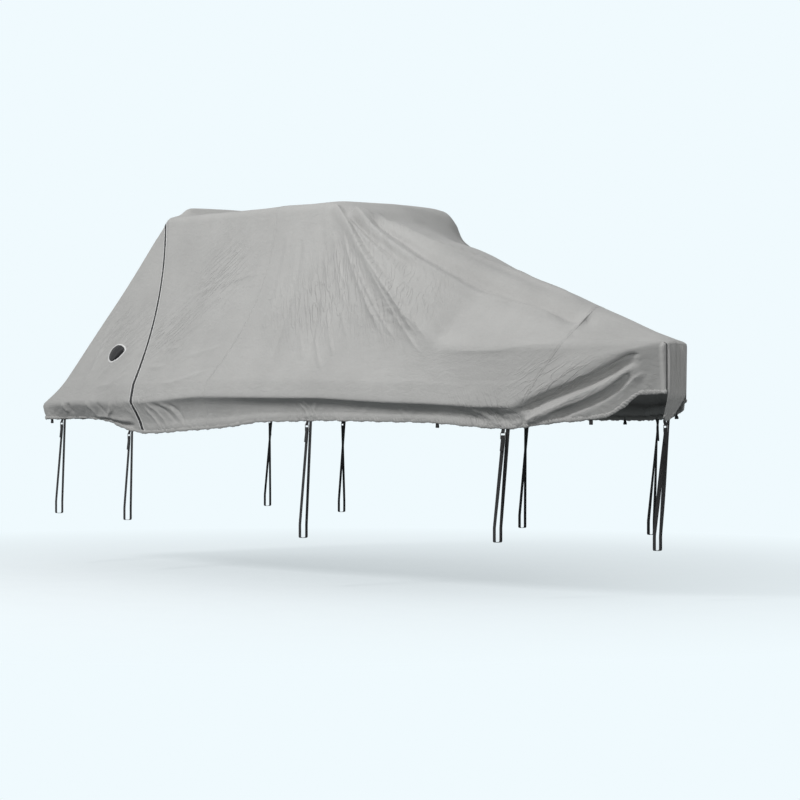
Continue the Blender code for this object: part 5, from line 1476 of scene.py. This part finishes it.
def weathering():
    """Faded and dusty patches. Dust lies on faces that look up, and rain leaves faint runs down the sides."""
    group, out = effect("weathering", ("Mottle", "Dust"))
    place = object_place(group)
    patches = noise(group, place, 2.3, 6.0, 0.62)
    flecks = noise(group, place, 60.0, 3.0, 0.6)
    most, rest = maths(group, "MULTIPLY", patches, 0.72), maths(group, "MULTIPLY", flecks, 0.28)
    mottle = maths(group, "ADD", most, rest)
    linked(group, remapped(group, mottle, 0.35, 0.65, 0.0, 1.0), out.inputs["Mottle"])
    facing = group.nodes.new("ShaderNodeNewGeometry").outputs["Normal"]
    up = made_node(group, "SeparateXYZ", {"Vector": facing})
    drawn_out = made_node(group, "Mapping", {"Vector": place, "Scale": (7.0, 7.0, 0.9)}).outputs["Vector"]
    runs = remapped(group, noise(group, drawn_out, 1.6, 5.0, 0.6), 0.48, 0.72, 0.0, 0.5)
    lying = remapped(group, up.outputs["Z"], 0.2, 0.95, 0.0, 0.7)
    linked(group, maths(group, "MAXIMUM", lying, runs), out.inputs["Dust"])
    return group


def ribbing(pitch):
    """Crosswise ribs of webbing or tape, one each pitch along it, and two across it."""
    group, out = effect("webbing ribs", ("Height",))
    parts = made_node(group, "SeparateXYZ", {"Vector": cloth_place(group)}).outputs
    along = maths(group, "SINE", maths(group, "MULTIPLY", parts["X"], 2 * math.pi / pitch))
    across = maths(group, "SINE", maths(group, "MULTIPLY", parts["Y"], 4 * math.pi / pitch))
    linked(group, maths(group, "ADD", along, maths(group, "MULTIPLY", across, 0.6)), out.inputs["Height"])
    return group


def used(tree, group):
    node = tree.nodes.new("ShaderNodeGroup")
    node.node_tree = group
    return node.outputs


def blended(tree, share, low, high):
    """A colour that goes from low to high with the share."""
    ramp = tree.nodes.new("ShaderNodeValToRGB")
    ramp.color_ramp.elements[0].color = (*low, 1.0)
    ramp.color_ramp.elements[1].color = (*high, 1.0)
    linked(tree, share, ramp.inputs["Fac"])
    return ramp.outputs["Color"]


def bumped(tree, height, strength, distance, below=None):
    inputs = {"Height": height, "Strength": strength, "Distance": distance}
    if below is not None:
        inputs["Normal"] = below
    return made_node(tree, "Bump", inputs).outputs["Normal"]


def finish_named(name, roughness, **constants):
    """A material and its one shader, with the constants set on the shader itself."""
    item = bpy.data.materials.new(name)
    item.use_nodes = True
    shader = item.node_tree.nodes["Principled BSDF"]
    shader.inputs["Roughness"].default_value = roughness
    for socket, value in constants.items():
        shader.inputs[socket.replace("_", " ")].default_value = value
    return item, item.node_tree, shader


def cloth_finish(name, dark, light):
    """Coated canvas, a little faded, with its weave and its small wrinkles."""
    item, tree, shader = finish_named(name, 0.82, Sheen_Weight=0.15, Sheen_Roughness=0.5)
    worn = used(tree, groups["weathering"])
    mottled, dusty = maths(tree, "MULTIPLY", worn["Mottle"], 0.7), maths(tree, "MULTIPLY", worn["Dust"], 0.3)
    share = maths(tree, "ADD", mottled, dusty)
    linked(tree, blended(tree, share, dark, light), shader.inputs["Base Color"])
    linked(tree, remapped(tree, worn["Dust"], 0.0, 1.0, 0.74, 0.9), shader.inputs["Roughness"])
    normal = bumped(tree, used(tree, groups["crinkle"])["Height"], *CRINKLE_BUMP)
    normal = bumped(tree, used(tree, groups["pulls"])["Height"], *PULL_BUMP, normal)
    normal = bumped(tree, used(tree, groups["weave"])["Height"], *WEAVE_BUMP, normal)
    linked(tree, normal, shader.inputs["Normal"])
    return item


def webbing_finish(name, dark, light):
    """Woven tape or thread: crosswise ribs, faded in patches."""
    item, tree, shader = finish_named(name, 0.7, Sheen_Weight=0.1)
    worn = used(tree, groups["weathering"])
    linked(tree, blended(tree, worn["Mottle"], dark, light), shader.inputs["Base Color"])
    linked(tree, remapped(tree, worn["Mottle"], 0.0, 1.0, 0.62, 0.8), shader.inputs["Roughness"])
    linked(tree, bumped(tree, used(tree, groups["ribs"])["Height"], *RIB_BUMP), shader.inputs["Normal"])
    return item


def hard_finish(name, dark, light, roughness, grain, **constants):
    """Moulded plastic or plated metal: fine grain, handling marks and a roughness that varies."""
    item, tree, shader = finish_named(name, roughness, **constants)
    place = object_place(tree)
    marks = noise(tree, place, 26.0, 5.0, 0.65)
    marked = remapped(tree, marks, 0.3, 0.7, 0.0, 1.0)
    linked(tree, blended(tree, marked, dark, light), shader.inputs["Base Color"])
    linked(
        tree,
        remapped(tree, marks, 0.3, 0.7, roughness * 0.8, roughness * 1.4),
        shader.inputs["Roughness"],
    )
    linked(tree, bumped(tree, noise(tree, place, grain, 2.0), *GRAIN_BUMP), shader.inputs["Normal"])
    return item


# ---------------------------------------------------------------- the cover's pieces
def build_panels():
    """The four big cloth panels, with their hems. It gives the fine grids that seams and zips follow."""
    edges = {}
    for name, start, spans, starboard, port, size, area in PANELS:
        grid, lines, sides = fine_body(start, spans, starboard, port)
        grid, outward, lines = dress(grid, lines, sides, CREASES, False)
        if name == "bow":
            grid, outward, lines = turned_in(grid, lines, sides)
        panel(name + "_cloth", name + "_panel", grid, outward, lines, size, area)
        edges[name] = (grid, outward, lines, sides)
        hem_of(name, grid[:, 0], outward[:, 0], "port")
        hem_of(name, grid[:, -1], outward[:, -1], "starboard")
    across = [-place for place in spaced(STERN_PORT)[:0:-1]] + spaced(STERN_STARBOARD)
    downs = [2 + place for place in spaced(STERN_DOWNS)][::-1]
    grid = stern_points(across, downs)
    sides = np.where(np.array(across) >= 0, -1, 1)[None, :] * np.ones(grid.shape[:2])
    grid, outward, lines = dress(grid, np.array(downs)[:, None], sides, STERN_CREASES, True)
    panel("stern_cloth", "stern_panel", grid, outward, lines, STERN_FLAT, STERN_AREA)
    hem_of("stern", grid[0], outward[0], "aft")
    return edges


def hem_of(name, edge, outward, side_name):
    """One stretch of hem casing, kept with its panel's name."""
    casing = hem_casing(f"{name}_hem_{side_name}", edge, outward, finishes["cloth"], len(edge))
    hems.setdefault(name, []).append(casing)


def build_seams(edges):
    """Felled seams where panels meet, and stitching round the roof's aft edge."""
    for name, seam in (("aft", "seam_a"), ("middle", "seam_b")):
        grid, outward, _, _ = edges[name]
        seams[name] = lap_seam(seam, grid[-1], outward[-1], grid[-1] - grid[-2])
    grid, outward, lines, _ = edges["aft"]
    top = np.flatnonzero(lines[0] <= ZIP_TOP)
    roof = slice(top[0], top[-1] + 1)
    seams["aft"] += lap_seam("seam_roof", grid[0, roof], outward[0, roof], grid[1, roof] - grid[0, roof])


def build_zips(edges):
    """A zip down each side, along the aft panel's first row."""
    grid, outward, lines, sides = edges["aft"]
    for side, side_name in ((-1, "starboard"), (1, "port")):
        mine = np.flatnonzero((sides == side) & (lines[0] >= ZIP_TOP))
        zip_piece(side_name, grid[0, mine], outward[0, mine], grid[1, mine] - grid[0, mine])


def nose_cap():
    """The curtain over the nose, with the deep soft folds of its gathered cloth."""
    table, hem = np.array(NOSE), np.array(NOSE_HEM)
    across = np.linspace(-1.0, 1.0, NOSE_ACROSS)
    downs = np.linspace(0.0, 1.0, NOSE_DOWN)
    top = np.array([at_place(NOSE_STATION, -2 * a) for a in across]) + (SEAM_GAP, 0.0, 0.0)
    rows = []
    for down in downs:
        height = top[:, 2] + (smooth(across, hem[:, 0], hem[:, 1]) - top[:, 2]) * down
        half, middle, x = (smooth(-height, -table[:, 0], table[:, i]) for i in (1, 2, 3))
        for at, width, lift, start, end in NOSE_FOLDS + NOSE_PLEATS:
            share = np.clip((height - start) / (end - start), 0.0, 1.0)
            x = x + lift * np.sin(math.pi * share**0.6) * np.exp(-(((across - at) / width) ** 2))
        row = np.stack([x, middle + across * half, height], axis=1)
        blend = np.clip(down / NOSE_SEWN, 0.0, 1.0)
        rows.append(top * (1 - blend) + row * blend)
    grid = np.array(rows)
    outward = -normals_of(grid)
    masks = {"hem": np.broadcast_to(downs[:, None], grid.shape[:2]), "slack": np.full(grid.shape[:2], 0.5)}
    item = thickened(cloth_grid("nose_cloth", grid, finishes["cloth"], outward, masks), CLOTH_SHOWN)
    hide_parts("nose_cap")
    casing = hem_casing("nose_hem", grid[-1], outward[-1], finishes["cloth"], NOSE_ACROSS)


def build_vents():
    tree = search_tree(bpy.data.objects["stern_cloth"])
    for side, side_name in ((-1, "starboard"), (1, "port")):
        vent_piece(side_name, side, tree)


def build_webbing():
    """Every strap with its buckle, and every empty loop, sewn where the solids are."""
    body, stern = coarse_grids()
    to_port, forward = np.array([0.0, 1.0, 0.0]), np.array([1.0, 0.0, 0.0])
    for side, side_name in ((-1, "starboard"), (1, "port")):
        for name, x, slant, foot in STRAPS:
            strap(f"strap_{name}_{side_name}", *hem_frame(x, side, body, stern), side, slant, foot)
        for name, x, hang in LOOPS:
            hem = hem_frame(x, side, body, stern)
            hanging_loop(f"loop_{name}_{side_name}", *hem, hang, LOOP_GAP, towards=forward)
    strap("strap_nose", np.array(NOSE_STRAP), to_port, forward, -1, NOSE_SLANT, NOSE_FOOT)


# ---------------------------------------------------------------- floor, light and camera
def floor_finish():
    """Pale floor that brightens into the backdrop far from the object."""
    item, tree, shader = finish_named("studio floor", 0.6)
    place = object_place(tree)
    away = made_node(tree, "VectorMath", {0: place}, operation="LENGTH").outputs["Value"]
    share = remapped(tree, away, FLOOR_CLEAR, FLOOR_FADED, 0.0, 1.0)
    speck = remapped(tree, noise(tree, place, 3.0, 4.0), 0.3, 0.7, 0.0, 1.0)
    linked(tree, blended(tree, speck, FLOOR_DARK, FLOOR_PALE), shader.inputs["Base Color"])
    glow = made_node(tree, "Emission", {"Color": (*BACKDROP, 1.0), "Strength": 1.0})
    mixed = made_node(tree, "MixShader", {"Fac": share})
    shaded = made_node(tree, "MixShader", {"Fac": FLOOR_LIT})
    linked(tree, shader.outputs["BSDF"], shaded.inputs[1])
    linked(tree, glow.outputs["Emission"], shaded.inputs[2])
    linked(tree, shaded.outputs["Shader"], mixed.inputs[1])
    linked(tree, glow.outputs["Emission"], mixed.inputs[2])
    dim = made_node(tree, "Emission", {"Color": (*BACKDROP, 1.0), "Strength": FLOOR_GLOW})
    path = tree.nodes.new("ShaderNodeLightPath")
    shown = made_node(tree, "MixShader", {"Fac": path.outputs["Is Camera Ray"]})
    linked(tree, dim.outputs["Emission"], shown.inputs[1])
    linked(tree, mixed.outputs["Shader"], shown.inputs[2])
    linked(tree, shown.outputs["Shader"], tree.nodes["Material Output"].inputs["Surface"])
    return item


def build_stage():
    made = bmesh.new()
    bmesh.ops.create_circle(made, cap_ends=True, segments=96, radius=FLOOR_RADIUS)
    for vert in made.verts:
        vert.co.z = FLOOR_Z
    mesh = bpy.data.meshes.new("floor")
    made.to_mesh(mesh)
    made.free()
    floor = bpy.data.objects.new("floor", mesh)
    bpy.context.scene.collection.objects.link(floor)
    mesh.materials.append(floor_finish())


def softbox(name, place, aim, size, power):
    data = bpy.data.lights.new(name, "AREA")
    data.shape = "RECTANGLE"
    data.size, data.size_y = size
    data.energy = power
    lamp = bpy.data.objects.new(name, data)
    lamp.location = place
    lamp.rotation_euler = (Vector(aim) - Vector(place)).to_track_quat("-Z", "Y").to_euler()
    bpy.context.scene.collection.objects.link(lamp)


def build_light():
    """The lamps, and a backdrop that lights the object less than it shows."""
    for name, place, aim, size, power in LAMPS:
        softbox(name, place, aim, size, power)
    world = bpy.data.worlds.new("backdrop")
    world.use_nodes = True
    tree = world.node_tree
    tree.nodes.clear()
    seen = made_node(tree, "Background", {"Color": (*BACKDROP, 1.0), "Strength": 1.0})
    light = made_node(tree, "Background", {"Color": (*SKY, 1.0), "Strength": SKY_STRENGTH})
    path = tree.nodes.new("ShaderNodeLightPath")
    mixed = made_node(tree, "MixShader", {"Fac": path.outputs["Is Camera Ray"]})
    linked(tree, light.outputs[0], mixed.inputs[1])
    linked(tree, seen.outputs[0], mixed.inputs[2])
    out = tree.nodes.new("ShaderNodeOutputWorld")
    linked(tree, mixed.outputs[0], out.inputs["Surface"])
    bpy.context.scene.world = world


def build_camera():
    data = bpy.data.cameras.new("camera")
    data.lens, data.sensor_width = CAMERA_LENS, CAMERA_FILM
    data.clip_end = 200.0
    camera = bpy.data.objects.new("camera", data)
    camera.location = CAMERA_PLACE
    camera.rotation_euler = [math.radians(turn) for turn in CAMERA_TURN]
    bpy.context.scene.collection.objects.link(camera)
    bpy.context.scene.camera = camera
    bpy.context.scene.view_settings.view_transform = "Standard"


# ---------------------------------------------------------------- build
dressing = bpy.data.collections.new("Dressing")
bpy.context.scene.collection.children.link(dressing)
groups = {
    "weave": canvas_weave(WEAVE_PITCH),
    "crinkle": crinkle(),
    "pulls": pulls(),
    "weathering": weathering(),
    "ribs": ribbing(RIB_PITCH),
}
finishes = {
    "cloth": cloth_finish("cover cloth", (0.375, 0.372, 0.362), (0.445, 0.442, 0.430)),
    "welt": cloth_finish("pale binding", (0.62, 0.62, 0.61), (0.72, 0.72, 0.71)),
    "thread": webbing_finish("pale thread", (0.50, 0.50, 0.49), (0.58, 0.58, 0.57)),
    "webbing": webbing_finish("black webbing", (0.010, 0.010, 0.011), (0.022, 0.022, 0.024)),
    "zip": webbing_finish("zip tape", (0.012, 0.012, 0.013), (0.028, 0.028, 0.030)),
    "coil": hard_finish("zip coil", (0.010, 0.010, 0.011), (0.030, 0.030, 0.032), 0.35, 400.0),
    "plastic": hard_finish("vent plastic", (0.006, 0.006, 0.007), (0.018, 0.018, 0.020), 0.22, 700.0),
    "steel": hard_finish("plated steel", (0.46, 0.46, 0.45), (0.62, 0.62, 0.61), 0.30, 900.0, Metallic=1.0),
}
sheets, hems, seams = [], {}, {}
panel_trees = [search_tree(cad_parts[name]) for name in SEWN_INSIDE]
edges = build_panels()
build_seams(edges)
build_zips(edges)
nose_cap()
build_vents()
build_webbing()
build_stage()
build_light()
build_camera()
